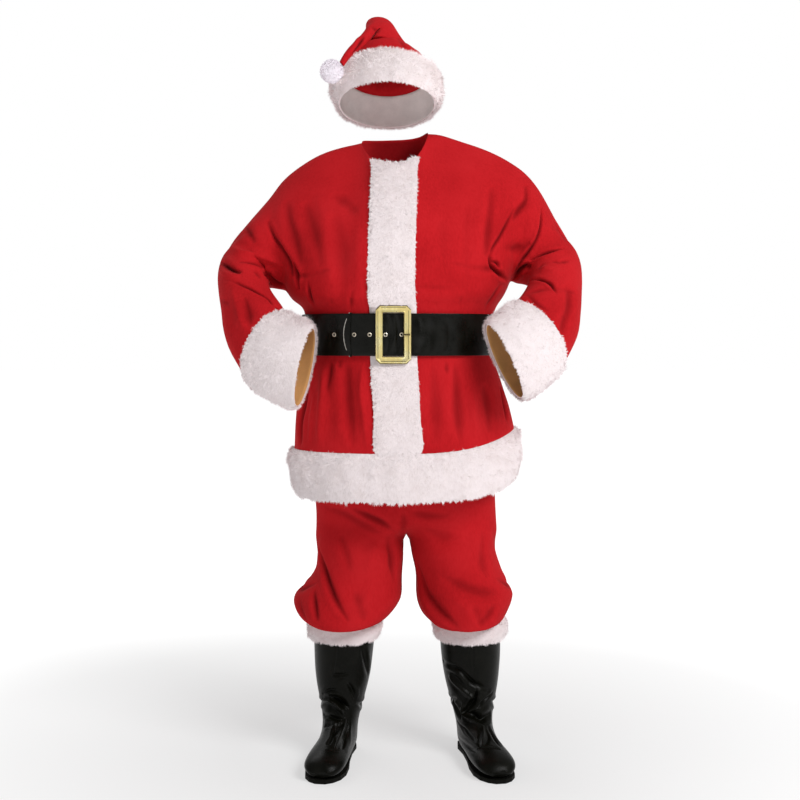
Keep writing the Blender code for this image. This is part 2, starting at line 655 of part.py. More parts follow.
def leg_seam(panels, side):
    """The leg's lower edge as one ring, from the inseam over the front to the side and back."""
    return panels[side, -1][-1] + panels[side, 1][-1][-2:0:-1]


def leg_cuff_rows(side):
    rows = []
    for row in LEG_CUFF:
        ring = []
        for k in range(2 * LEG_COLUMNS):
            turn = math.pi * k / LEG_COLUMNS
            out, ahead = -math.cos(turn) * side, math.sin(turn)
            depth = row.front * ahead if ahead > 0 else -row.back * ahead
            drop = row.sag * max(0.0, ahead)
            ring.append(boot_centre(side, row.height) + Vector((row.half_x * out, depth, -drop)))
        rows.append(ring)
    return rows


def waist_ring(row):
    """The whole waist at one height, with the panels' own columns."""
    turns = [math.pi / 2 * i / LEG_COLUMNS for i in range(2 * LEG_COLUMNS + 1)]
    left = [body_point(row, LEFT, turn) for turn in turns]
    return left + [body_point(row, RIGHT, turn) for turn in turns[-2:0:-1]]


def boot_centre(side, height):
    boot = BOOTS[side]
    return Vector((boot.ankle + boot.lean * height / LEAN_HEIGHT, boot.y, height))


def boot_rows(side, sections):
    boot = BOOTS[side]
    turn = math.radians(boot.turn) * side
    forward = Vector((math.sin(turn), -math.cos(turn), 0))
    across = Vector((math.cos(turn), math.sin(turn), 0))
    rows = []
    for section in sections:
        ends = []
        for along, height in (section.front, section.back):
            ends.append(boot_centre(side, height) + forward * along)
        middle, reach = (ends[0] + ends[1]) / 2, (ends[0] - ends[1]) / 2
        rows.append([
            middle + reach * math.cos(a) + across * section.half * math.sin(a)
            for a in (2 * math.pi * k / BOOT_SIDES for k in range(BOOT_SIDES))])
    return rows


def make_boots():
    for side, word in ((RIGHT, "right"), (LEFT, "left")):
        shaft = boot_rows(side, BOOT_SHAFT)
        foot = boot_rows(side, BOOT_FOOT)
        floor_of_foot = SOLE_HEIGHT + SEAM + VINYL / 2
        for row in foot:
            for point in row:
                point.z = max(point.z, floor_of_foot)
        foot.insert(0, shaft[-1])
        normals = sewn_normals([], [shaft, foot])
        wall(f"boot_{word}_shaft", shaft, normals, -VINYL / 2, VINYL / 2, "vinyl", closed=True)
        wall(f"boot_{word}_foot", foot, normals, -VINYL / 2, VINYL / 2, "vinyl", closed=True, capped=True)
        make_sole(side, word)


def make_sole(side, word):
    curve = bpy.data.curves.new(f"boot_{word}_sole", "CURVE")
    curve.dimensions = "2D"
    curve.fill_mode = "BOTH"
    curve.extrude = SOLE_HEIGHT / 2
    outline = curve.splines.new("POLY")
    around = [(half, along) for along, half in SOLE_OUTLINE] + [(-half, along) for along, half in SOLE_OUTLINE[::-1]]
    outline.points.add(len(around) - 1)
    for point, (across, along) in zip(outline.points, around):
        point.co = (across, -along, 0, 1)
    outline.use_cyclic_u = True
    sole = bpy.data.objects.new(curve.name, curve)
    sole.location = boot_centre(side, 0) + Vector((0, 0, SOLE_HEIGHT / 2))
    sole.rotation_euler.z = math.radians(BOOTS[side].turn) * side
    finish(sole, "rubber")


def make_hat():
    band_rows = []
    for band in BAND:
        ring = []
        for k in range(HAT_SIDES):
            turn = 2 * math.pi * k / HAT_SIDES
            x = BAND_CENTRE[0] + band.half_x * math.cos(turn)
            y = BAND_CENTRE[1] - band.half_y * math.sin(turn)
            ring.append(Vector((x, y, band.height - BAND_TILT * y)))
        band_rows.append(ring)
    cone = [band_rows[-1]] + tube_rows(HAT_CONE, HAT_SIDES)
    normals = sewn_normals([], [band_rows, cone])
    half = CLOTH / 2
    wall("hat_cone", cone, normals, -half, half, "cloth", closed=True, capped=True)
    wall("hat_band_fur", band_rows, normals, -half, [band.reach for band in BAND], "fur", closed=True)
    bpy.ops.mesh.primitive_ico_sphere_add(subdivisions=3, radius=POMPOM_RADIUS)
    pompom = bpy.context.active_object
    pompom.name = pompom.data.name = "hat_pompom"
    pompom.location = POMPOM
    for collection in list(pompom.users_collection):
        collection.objects.unlink(pompom)
    finish(pompom, "fur")


FINISHES = {
    "cloth": (RED, 0.9, 0.0),
    "fur": (WHITE, 0.95, 0.0),
    "leather": (BLACK, 0.4, 0.0),
    "vinyl": (BLACK, 0.3, 0.0),
    "rubber": (BLACK, 0.8, 0.0),
    "brass": (BRASS, 0.3, 1.0),
}

clear_scene()
suit = bpy.data.collections.new("santa_suit")
cutters = bpy.data.collections.new("cutters")
bpy.context.scene.collection.children.link(suit)
bpy.context.scene.collection.children.link(cutters)
floor = bpy.data.objects.new("floor", None)
floor.location.z = -NECK_HEIGHT
suit.objects.link(floor)

make_jacket()
belt_line = BeltLine()
make_strap(belt_line)
make_keeper(belt_line)
make_buckle(belt_line)
make_eyelets(belt_line)
make_trousers()
make_boots()
make_hat()
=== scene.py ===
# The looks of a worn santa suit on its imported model, in metres: +Z up, -Y the front, +X the wearer's left.
import json
import math

import bmesh
import bpy
import numpy as np
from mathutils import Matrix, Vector, kdtree, noise
from mathutils.bvhtree import BVHTree

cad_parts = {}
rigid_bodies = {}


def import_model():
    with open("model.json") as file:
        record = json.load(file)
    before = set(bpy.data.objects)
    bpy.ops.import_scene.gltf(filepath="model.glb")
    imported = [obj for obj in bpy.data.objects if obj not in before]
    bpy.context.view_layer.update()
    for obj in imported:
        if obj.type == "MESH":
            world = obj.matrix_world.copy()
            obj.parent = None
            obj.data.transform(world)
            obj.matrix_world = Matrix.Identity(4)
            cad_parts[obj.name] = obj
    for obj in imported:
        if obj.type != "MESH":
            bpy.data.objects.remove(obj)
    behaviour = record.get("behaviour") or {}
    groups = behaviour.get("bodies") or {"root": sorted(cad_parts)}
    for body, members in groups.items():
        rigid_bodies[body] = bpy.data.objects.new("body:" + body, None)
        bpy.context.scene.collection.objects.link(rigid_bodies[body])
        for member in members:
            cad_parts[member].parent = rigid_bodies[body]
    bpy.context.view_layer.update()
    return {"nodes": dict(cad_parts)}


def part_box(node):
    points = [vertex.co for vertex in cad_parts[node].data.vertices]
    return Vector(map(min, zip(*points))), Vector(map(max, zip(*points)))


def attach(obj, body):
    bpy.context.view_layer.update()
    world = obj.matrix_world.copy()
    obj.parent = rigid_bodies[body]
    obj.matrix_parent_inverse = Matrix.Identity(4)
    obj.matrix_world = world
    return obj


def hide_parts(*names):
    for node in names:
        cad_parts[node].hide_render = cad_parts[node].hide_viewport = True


for thing in list(bpy.data.objects):
    bpy.data.objects.remove(thing)
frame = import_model()
scene = bpy.context.scene
print("frame loaded")


# shader nodes
class Wire:
    # one output of a node; + and * on it add Math nodes
    def __init__(self, finish, socket):
        self.finish, self.socket = finish, socket

    def __add__(self, other):
        return self.finish.node("ShaderNodeMath", {"operation": "ADD"}, {0: self, 1: other})

    def __mul__(self, other):
        return self.finish.node("ShaderNodeMath", {"operation": "MULTIPLY"}, {0: self, 1: other})


class Finish:
    # a material with one shader, and the nodes that feed it
    def __init__(self, name, **fixed):
        self.material = bpy.data.materials.new(name)
        self.material.use_nodes = True
        self.tree = self.material.node_tree
        self.shader = self.tree.nodes["Principled BSDF"]
        for socket, value in fixed.items():
            self.shader.inputs[socket.replace("_", " ")].default_value = value

    def node(self, kind, settings=None, inputs=None, out=0):
        made = self.tree.nodes.new(kind)
        for name, value in (settings or {}).items():
            setattr(made, name, value)
        for name, value in (inputs or {}).items():
            if isinstance(value, Wire):
                self.tree.links.new(value.socket, made.inputs[name])
            else:
                made.inputs[name].default_value = value
        return Wire(self, made.outputs[out])

    def grain(self, scale, detail=3.0, stretch=(1, 1, 1), rough=0.5):
        spot = self.node("ShaderNodeTexCoord", out="Object")
        spot = self.node("ShaderNodeMapping", None, {"Vector": spot, "Scale": stretch})
        return self.node("ShaderNodeTexNoise", None, {
            "Vector": spot, "Scale": scale, "Detail": detail, "Roughness": rough})

    def mix(self, share, first, second, blend="MIX"):
        settings = {"data_type": "RGBA", "blend_type": blend, "clamp_factor": True}
        return self.node("ShaderNodeMix", settings, {0: share, 6: first, 7: second}, out=2)

    def ramp(self, share, stops):
        wire = self.node("ShaderNodeValToRGB", None, {0: share})
        elements = wire.socket.node.color_ramp.elements
        elements.remove(elements[1])
        elements[0].position, elements[0].color = stops[0]
        for place, colour in stops[1:]:
            elements.new(place).color = colour
        return wire

    def evenRamp(self, share, tones, last=1.0):
        # the tones at even steps, from 0 to the last one's place
        return self.ramp(share, [(last * step / (len(tones) - 1), tone) for step, tone in enumerate(tones)])

    def between(self, value, low, high, first=0.0, second=1.0):
        return self.node("ShaderNodeMapRange", {"clamp": True}, {
            0: value, 1: low, 2: high, 3: first, 4: second})

    def bump(self, height, distance, strength=1.0):
        return self.node("ShaderNodeBump", None, {
            "Strength": strength, "Distance": distance, "Height": height})

    def feed(self, **wires):
        for socket, wire in wires.items():
            self.tree.links.new(wire.socket, self.shader.inputs[socket.replace("_", " ")])
        return self.material


def shade(red, green, blue):
    return (red, green, blue, 1.0)


def paint(node, material):
    for materialSlot in frame["nodes"][node].material_slots:
        materialSlot.material = material


# shapes
def deselectAll():
    if bpy.context.mode != "OBJECT":
        bpy.ops.object.mode_set(mode="OBJECT")
    bpy.ops.object.select_all(action="DESELECT")


def pieceOf(name, mesh):
    mesh.name = name
    piece = bpy.data.objects.new(name, mesh)
    scene.collection.objects.link(piece)
    return piece


def shapeOf(mesh):
    shape = bmesh.new()
    shape.from_mesh(mesh)
    return shape


def meshOf(shape, name):
    mesh = bpy.data.meshes.new(name)
    shape.to_mesh(mesh)
    shape.free()
    return mesh


def keepOnly(shape, faces):
    bmesh.ops.delete(shape, geom=[face for face in shape.faces if face not in faces], context="FACES")
    bmesh.ops.delete(shape, geom=[vert for vert in shape.verts if not vert.link_faces], context="VERTS")


def addWall(piece, thickness):
    wall = piece.modifiers.new("wall", "SOLIDIFY")
    wall.thickness, wall.offset = thickness, -1


def addBevel(piece, width, angle):
    edge = piece.modifiers.new("edge", "BEVEL")
    edge.width, edge.segments, edge.limit_method, edge.angle_limit = width, 2, "ANGLE", angle


def applyAll(piece):
    deselectAll()
    bpy.context.view_layer.objects.active = piece
    piece.select_set(True)
    for modifier in list(piece.modifiers):
        bpy.ops.object.modifier_apply(modifier=modifier.name)
    piece.select_set(False)


def settle(piece, node):
    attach(piece, "root")
    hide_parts(node)


def coordinates(mesh, what="co"):
    values = np.empty(len(mesh.vertices) * 3, np.float32)
    mesh.vertices.foreach_get(what, values)
    return values.reshape(-1, 3).astype(float)


def setCoordinates(mesh, points):
    mesh.vertices.foreach_set("co", np.asarray(points, np.float32).ravel())
    mesh.update()


def unit(vectors):
    return vectors / np.maximum(np.linalg.norm(vectors, axis=1, keepdims=True), 1e-9)


def tangent(vectors, normals):
    return vectors - normals * (vectors * normals).sum(1)[:, None]


def unevenness(points, size, octaves, seed):
    shift = Vector((seed, seed * 0.7, -seed))
    return np.array([noise.fractal(Vector(point) / size + shift, 1.0, 2.0, octaves) for point in points])


def distanceTo(points, targets):
    # how far each point is from the nearest target, and which one that is
    tree = kdtree.KDTree(len(targets))
    for number, target in enumerate(targets):
        tree.insert(target, number)
    tree.balance()
    places, numbers, distances = zip(*(tree.find(point) for point in points))
    return np.array(distances), np.array(numbers)


def rayTree(mesh):
    faces = [tuple(face.vertices) for face in mesh.polygons]
    return BVHTree.FromPolygons([vert.co for vert in mesh.vertices], faces)


def sidesOf(shape, fold):
    # the shape's faces in groups, the largest first; two groups meet where an edge folds by more than this
    sides, left = [], set(shape.faces)
    for first in shape.faces:
        if first not in left:
            continue
        left.discard(first)
        side, stack = [], [first]
        while stack:
            face = stack.pop()
            side.append(face)
            for edge in face.edges:
                if edge.calc_face_angle(0) > fold:
                    continue
                for beside in edge.link_faces:
                    if beside in left:
                        left.discard(beside)
                        stack.append(beside)
        sides.append(side)
    return sorted(sides, key=lambda side: -sum(face.calc_area() for face in side))


def skinOf(node, thin=0.0, fold=0.87, inner=False):
    # one side of a node's wall in quads, without the faces that have an edge shorter than thin
    shape = shapeOf(frame["nodes"][node].data)
    bmesh.ops.remove_doubles(shape, verts=shape.verts, dist=0.00001)
    ends = [face for face in shape.faces if min(edge.calc_length() for edge in face.edges) < thin]
    bmesh.ops.delete(shape, geom=ends, context="FACES")
    shape.normal_update()
    keepOnly(shape, set(sidesOf(shape, fold)[1 if inner else 0]))
    bmesh.ops.join_triangles(shape, faces=shape.faces[:], angle_face_threshold=1.4,
                             angle_shape_threshold=math.pi, topology_influence=2.0)
    return shape


def sewn(nodes, thin=0.0, fold=0.87, inner=False):
    # the same side of several pieces as one surface; each face's material number says which piece it is from
    form = bmesh.new()
    for number, node in enumerate(nodes):
        skin = skinOf(node, thin, fold, inner)
        for face in skin.faces:
            face.material_index = number
            face.smooth = True
        mesh = meshOf(skin, "skin")
        form.from_mesh(mesh)
        bpy.data.meshes.remove(mesh)
    bmesh.ops.remove_doubles(form, verts=form.verts, dist=0.001)
    return meshOf(form, "sewn")


def smoothed(mesh, levels):
    # a rounder mesh that still passes near the first one's points
    form = pieceOf("form", mesh)
    rounder = form.modifiers.new("rounder", "SUBSURF")
    rounder.levels = rounder.render_levels = levels
    aim = coordinates(mesh)
    start = aim.copy()
    for turn in range(3):
        fine = bpy.data.meshes.new_from_object(form.evaluated_get(bpy.context.evaluated_depsgraph_get()))
        if turn < 2:
            start += (aim - coordinates(fine)[:len(aim)]) * 0.9
            setCoordinates(mesh, start)
            bpy.data.meshes.remove(fine)
            bpy.context.view_layer.update()
    bpy.data.objects.remove(form)
    return fine


def evened(mesh, chosen, rounds):
    shape = shapeOf(mesh)
    shape.verts.ensure_lookup_table()
    verts = [shape.verts[number] for number in np.flatnonzero(chosen)]
    for turn in range(rounds):
        bmesh.ops.smooth_vert(shape, verts=verts, factor=0.5,
                              use_axis_x=True, use_axis_y=True, use_axis_z=True)
    shape.to_mesh(mesh)
    shape.free()
    mesh.update()


def edgeLines(mesh, between=False):
    # points on the mesh's open edges, or on the seams between its pieces
    numbers, meets = {}, {}
    for face in mesh.polygons:
        for edge in face.edge_keys:
            meets[edge] = meets.get(edge, 0) + 1
            numbers.setdefault(edge, set()).add(face.material_index)
    if between:
        found = {vert for edge, pieces in numbers.items() if len(pieces) > 1 for vert in edge}
    else:
        found = {vert for edge, count in meets.items() if count == 1 for vert in edge}
    return sorted(found)


# creases: for each side it is seen from, a table has rows of (depth, width, lean, places along the fold)
# lengths are in millimetres; a minus depth is a soft ridge, and lean makes one side's ridge the higher
seenFrom = {  # how the two numbers of a place are dropped on to the cloth
    "front": lambda a, b: (Vector((a, -1, b)), Vector((0, 1, 0))),
    "back": lambda a, b: (Vector((a, 1, b)), Vector((0, -1, 0))),
    "left": lambda a, b: (Vector((1, a, b)), Vector((-1, 0, 0))),
    "right": lambda a, b: (Vector((-1, a, b)), Vector((1, 0, 0))),
}
foldForm = {
    # a trough's and a ridge's share of the depth, with reaches and distances in crease widths
    "sharp": (0.6, 0.55), "soft": (0.5, 1.35), "ridge": (0.32, 1.9, 1.1), "wobble": 0.4,
    # the painted shade in a crease's core is full from this depth and up to this width, and spreads over the
    # last number of crease widths
    "deepest": 0.006, "narrowest": 0.007, "tint": 0.8,
}


def curveThrough(places, steps=8):
    places = [places[0] * 2 - places[1]] + places + [places[-1] * 2 - places[-2]]
    line = []
    for a, b, c, d in zip(places, places[1:], places[2:], places[3:]):
        for t in np.arange(steps) / steps:
            line.append(0.5 * (b * 2 + (c - a) * t + (a * 2 - b * 5 + c * 4 - d) * t ** 2
                               + (b * 3 - a - c * 3 + d) * t ** 3))
    return line + [places[-2]]


def creaseLines(mesh, table):
    # each crease as a line on the cloth
    tree = rayTree(mesh)
    lines = []
    for side, creases in table.items():
        for depth, width, lean, places in creases:
            dropped = [tree.ray_cast(*seenFrom[side](a / 1000, b / 1000))[0] for a, b in places]
            dropped = [spot for spot in dropped if spot is not None]
            if len(dropped) < 2:
                print("a crease misses the cloth:", side, places)
                continue
            lines.append((np.array(curveThrough(dropped)), depth / 1000, width / 1000, lean))
    return lines


def finer(mesh, lines, rounds):
    # smaller faces along the creases, where the cloth bends sharply
    shape = shapeOf(mesh)
    for reach, widest in rounds:
        middles = np.array([face.calc_center_median() for face in shape.faces])
        sizes = np.sqrt([face.calc_area() for face in shape.faces])
        wanted = np.zeros(len(middles), bool)
        for line, depth, width, lean in lines:
            if width > widest:
                continue
            away = reach * width + 0.003
            inside = (middles > line.min(0) - away) & (middles < line.max(0) + away)
            near = np.flatnonzero(inside.all(1))
            gaps = np.linalg.norm(middles[near, None] - line, axis=2).min(1)
            wanted[near[(gaps < away) & (sizes[near] > width * 0.36)]] = True
        shape.faces.ensure_lookup_table()
        edges = {edge for number in np.flatnonzero(wanted) for edge in shape.faces[number].edges}
        bmesh.ops.subdivide_edges(shape, edges=list(edges), cuts=1, use_grid_fill=True, smooth=0.0)
    shape.to_mesh(mesh)
    shape.free()
    mesh.update()


def beside(spots, normals, line):
    # each spot's distance to the line, with its sign, and how far along the line its nearest place lies
    starts, ways = line[:-1], line[1:] - line[:-1]
    lengths = np.maximum((ways ** 2).sum(1), 1e-12)
    shares = np.clip(((spots[:, None] - starts) * ways).sum(2) / lengths, 0, 1)
    gaps = spots[:, None] - (starts + shares[..., None] * ways)
    far = np.linalg.norm(gaps, axis=2)
    best = far.argmin(1)
    rows = np.arange(len(spots))
    sign = np.sign((np.cross(unit(ways)[best], normals) * gaps[rows, best]).sum(1))
    return far[rows, best], sign, (best + shares[rows, best]) / len(ways)


def creased(mesh, lines, seed):
    # how far each point of the cloth moves out, and how much painted shade it gets in a crease's core
    # a crease is a sharp trough with softer sides, and a ridge on each side of it
    points, normals = coordinates(mesh), coordinates(mesh, "normal")
    moved, paintedShade = np.zeros(len(points)), np.zeros(len(points))
    ridge, ridgeAway, ridgeWidth = foldForm["ridge"]
    for number, (line, depth, width, lean) in enumerate(lines):
        near = np.all((points > line.min(0) - 3.5 * width) & (points < line.max(0) + 3.5 * width), axis=1)
        far, sign, along = beside(points[near], normals[near], line)
        wobble = np.array([noise.noise(Vector((seed + number * 3.1, t * 3.0, 0.3))) for t in along])
        wobble *= foldForm["wobble"]
        across = far * sign / (width * (0.8 + 0.35 * np.sin(np.pi * along) + wobble))
        fade = np.sin(np.pi * np.clip(along, 0.0, 1.0)) ** 0.6 * (1 + wobble)
        fade *= np.exp(-np.maximum(far - 3 * width, 0) / width)
        profile = ridge * (1 + lean) * np.exp(-((across - ridgeAway) / ridgeWidth) ** 2)
        profile += ridge * (1 - lean) * np.exp(-((across + ridgeAway) / ridgeWidth) ** 2)
        for share, reach in (foldForm["sharp"], foldForm["soft"]):
            profile -= share * np.exp(-(across / reach) ** 2)
        moved[near] += depth * fade * profile
        # painted shade: a trough's core darkens the cloth's colour, the more so the deeper and narrower the
        # crease
        if depth > 0:
            strong = min(depth / foldForm["deepest"], 1.0) * min(foldForm["narrowest"] / width, 1.0)
            tint = strong * np.clip(fade, 0, 1) * np.exp(-(across / foldForm["tint"]) ** 2)
            paintedShade[near] = np.maximum(paintedShade[near], tint)
    return moved, paintedShade


# garments: several pieces sewn, creased as one and cut apart again
def filled(mesh, front):
    # brings the hollow between two folds forward, to the surface they share
    tree = rayTree(mesh)
    points = coordinates(mesh)
    heights, reach, right = zip(*front["rows"])
    ends = np.interp(points[:, 2], heights, right)
    share = np.clip((points[:, 0] - front["left"]) / (ends - front["left"]), 0, 1)
    aim = np.interp(points[:, 2], heights, reach) * np.sqrt(1 - share ** 2.5)
    hollow = (points[:, 0] > front["left"] - 0.006) & (points[:, 0] < ends) & (points[:, 1] > aim)
    hollow &= (points[:, 2] > heights[0]) & (points[:, 2] < heights[-1])
    for number in np.flatnonzero(hollow):
        x, y, z = points[number]
        hit = tree.ray_cast(Vector((x, -1, z)), Vector((0, 1, 0)))[0]
        if (x > front["left"] + 0.02 and y < 0.002) or (hit is not None and abs(hit.y - y) < 0.003):
            points[number, 1] = aim[number]
    setCoordinates(mesh, points)
    below = (np.abs(points[:, 2] - heights[0] - 0.008) < 0.022) & (points[:, 1] < -0.02)
    evened(mesh, hollow | below, front["rounds"])


def freeOfBelt(points, held):
    # 0 where the belt holds the cloth, 1 away from it and on the sleeves
    away = np.clip((np.abs(points[:, 2] - held["height"]) - held["half"]) / held["fade"], 0, 1)
    sleeves = np.clip((np.abs(points[:, 0] - held["middle"]) - held["sleeves"]) / 0.02, 0, 1)
    return np.maximum(away ** 2 * (3 - 2 * away), sleeves)


def wholeCloth(settings, form, creases):
    # the sewn surface with its creases, seams and slack, and the painted shade of its creases' cores kept as
    # the fold attribute
    mesh = smoothed(form, settings["levels"])
    if "front" in settings:
        filled(mesh, settings["front"])
    if "ease" in settings:
        gap, _ = distanceTo(coordinates(mesh), coordinates(mesh)[edgeLines(mesh, between=True)])
        evened(mesh, gap < settings["ease"], 8)
    lines = creaseLines(mesh, creases)
    finer(mesh, lines, settings["finer"])
    points, normals = coordinates(mesh), coordinates(mesh, "normal")
    moved, paintedShade = creased(mesh, lines, settings["seed"])
    moved += settings["slack"] * unevenness(points, 0.12, 2, settings["seed"])
    if "belt" in settings:
        free = freeOfBelt(points, settings["belt"])
        moved = moved * free + np.minimum(moved, 0) * (1 - free) * 0.3
        paintedShade *= free
    seams = edgeLines(mesh, between=True)
    if seams:
        gap, _ = distanceTo(points, points[seams])
        moved -= settings["seamDepth"] * np.exp(-(gap / settings["seamWidth"]) ** 2)
    setCoordinates(mesh, points + normals * moved[:, None])
    # painted shade in the creases' cores, which darkens the cloth's colour
    mesh.attributes.new("fold", "FLOAT", "POINT").data.foreach_set("value", paintedShade.astype(np.float32))
    outside = coordinates(mesh, "normal").astype(np.float32)
    mesh.attributes.new("outside", "FLOAT_VECTOR", "POINT").data.foreach_set("vector", outside.ravel())
    return mesh


def clothPiece(name, mesh, number, wallThickness, material):
    # one piece cut out of the sewn surface, with its thickness
    shape = shapeOf(mesh)
    keepOnly(shape, {face for face in shape.faces if face.material_index == number})
    for face in shape.faces:
        face.material_index = 0
        face.smooth = True
    piece = pieceOf(name, meshOf(shape, name))
    piece.data.materials.append(material)
    faces = len(piece.data.polygons)
    addWall(piece, wallThickness)
    applyAll(piece)
    # the outer face keeps the whole surface's normals, so the cloth shades on across its seams
    outside = piece.data.attributes["outside"]
    ways = np.empty(len(outside.data) * 3, np.float32)
    outside.data.foreach_get("vector", ways)
    corners, ends = np.empty(len(piece.data.loops), np.int32), np.empty(len(piece.data.polygons), np.int32)
    piece.data.loops.foreach_get("vertex_index", corners)
    piece.data.polygons.foreach_get("loop_start", ends)
    kept = ways.reshape(-1, 3)[corners]
    kept[ends[faces]:] = 0
    piece.data.attributes.remove(outside)
    piece.data.normals_split_custom_set(kept.tolist())
    return piece


def makeGarment(settings, creases):
    mesh = wholeCloth(settings, sewn(list(settings["pieces"]), *settings["edges"]), creases)
    for number, (node, (flat, area)) in enumerate(settings["pieces"].items()):
        piece = clothPiece(f"{node}_{settings['kind']}", mesh, number, settings["wall"], settings["finish"])
        settle(piece, node)


# red brushed fleece
fleece = {
    "colour": shade(0.445, 0.0095, 0.0135), "deep": shade(0.385, 0.0075, 0.0108),
    # the fold colour is painted shade, laid into the creases' cores
    "worn": shade(0.480, 0.0125, 0.0170), "fold": shade(0.130, 0.0022, 0.0036),
    "sheen": 0.05, "sheenTint": shade(1.0, 0.30, 0.30), "grainHeight": 0.0005,
}


def fleeceFinish():
    cloth = Finish("red_fleece", Roughness=0.92, Sheen_Weight=fleece["sheen"], Sheen_Roughness=0.5,
                   Sheen_Tint=fleece["sheenTint"], Specular_IOR_Level=0.05)
    patches = cloth.grain(7.0, 4.0)
    nap = cloth.grain(210.0, 3.0, (1, 1, 0.35))
    grain = cloth.grain(900.0, 2.0)
    tone = cloth.between(patches * 0.55 + nap * 0.30 + grain * 0.15, 0.38, 0.62)
    colour = cloth.ramp(tone, [(0.0, fleece["deep"]), (0.45, fleece["colour"]), (1.0, fleece["worn"])])
    # painted shade: the colour darkens towards the fold colour in the creases' cores
    fold = cloth.node("ShaderNodeAttribute", {"attribute_name": "fold"}, out="Fac")
    colour = cloth.mix(cloth.between(fold, 0.05, 0.9), colour, fleece["fold"])
    height = nap * 0.6 + grain * 0.4
    return cloth.feed(Base_Color=colour, Normal=cloth.bump(height, fleece["grainHeight"], 0.6))


# what the red garments share
# "edges": the wall's ends are the faces with an edge under the first number, or past a fold of the second
# "finer": rounds of smaller faces, each with its reach in crease widths and the widest crease that gets it
redGarment = {"kind": "cloth", "wall": 0.0018, "levels": 2, "finish": fleeceFinish(), "slot": "red_cloth",
              "held": "draped", "edges": (0.0033, 3.2), "finer": [(3.0, 0.02), (1.7, 0.011)]}

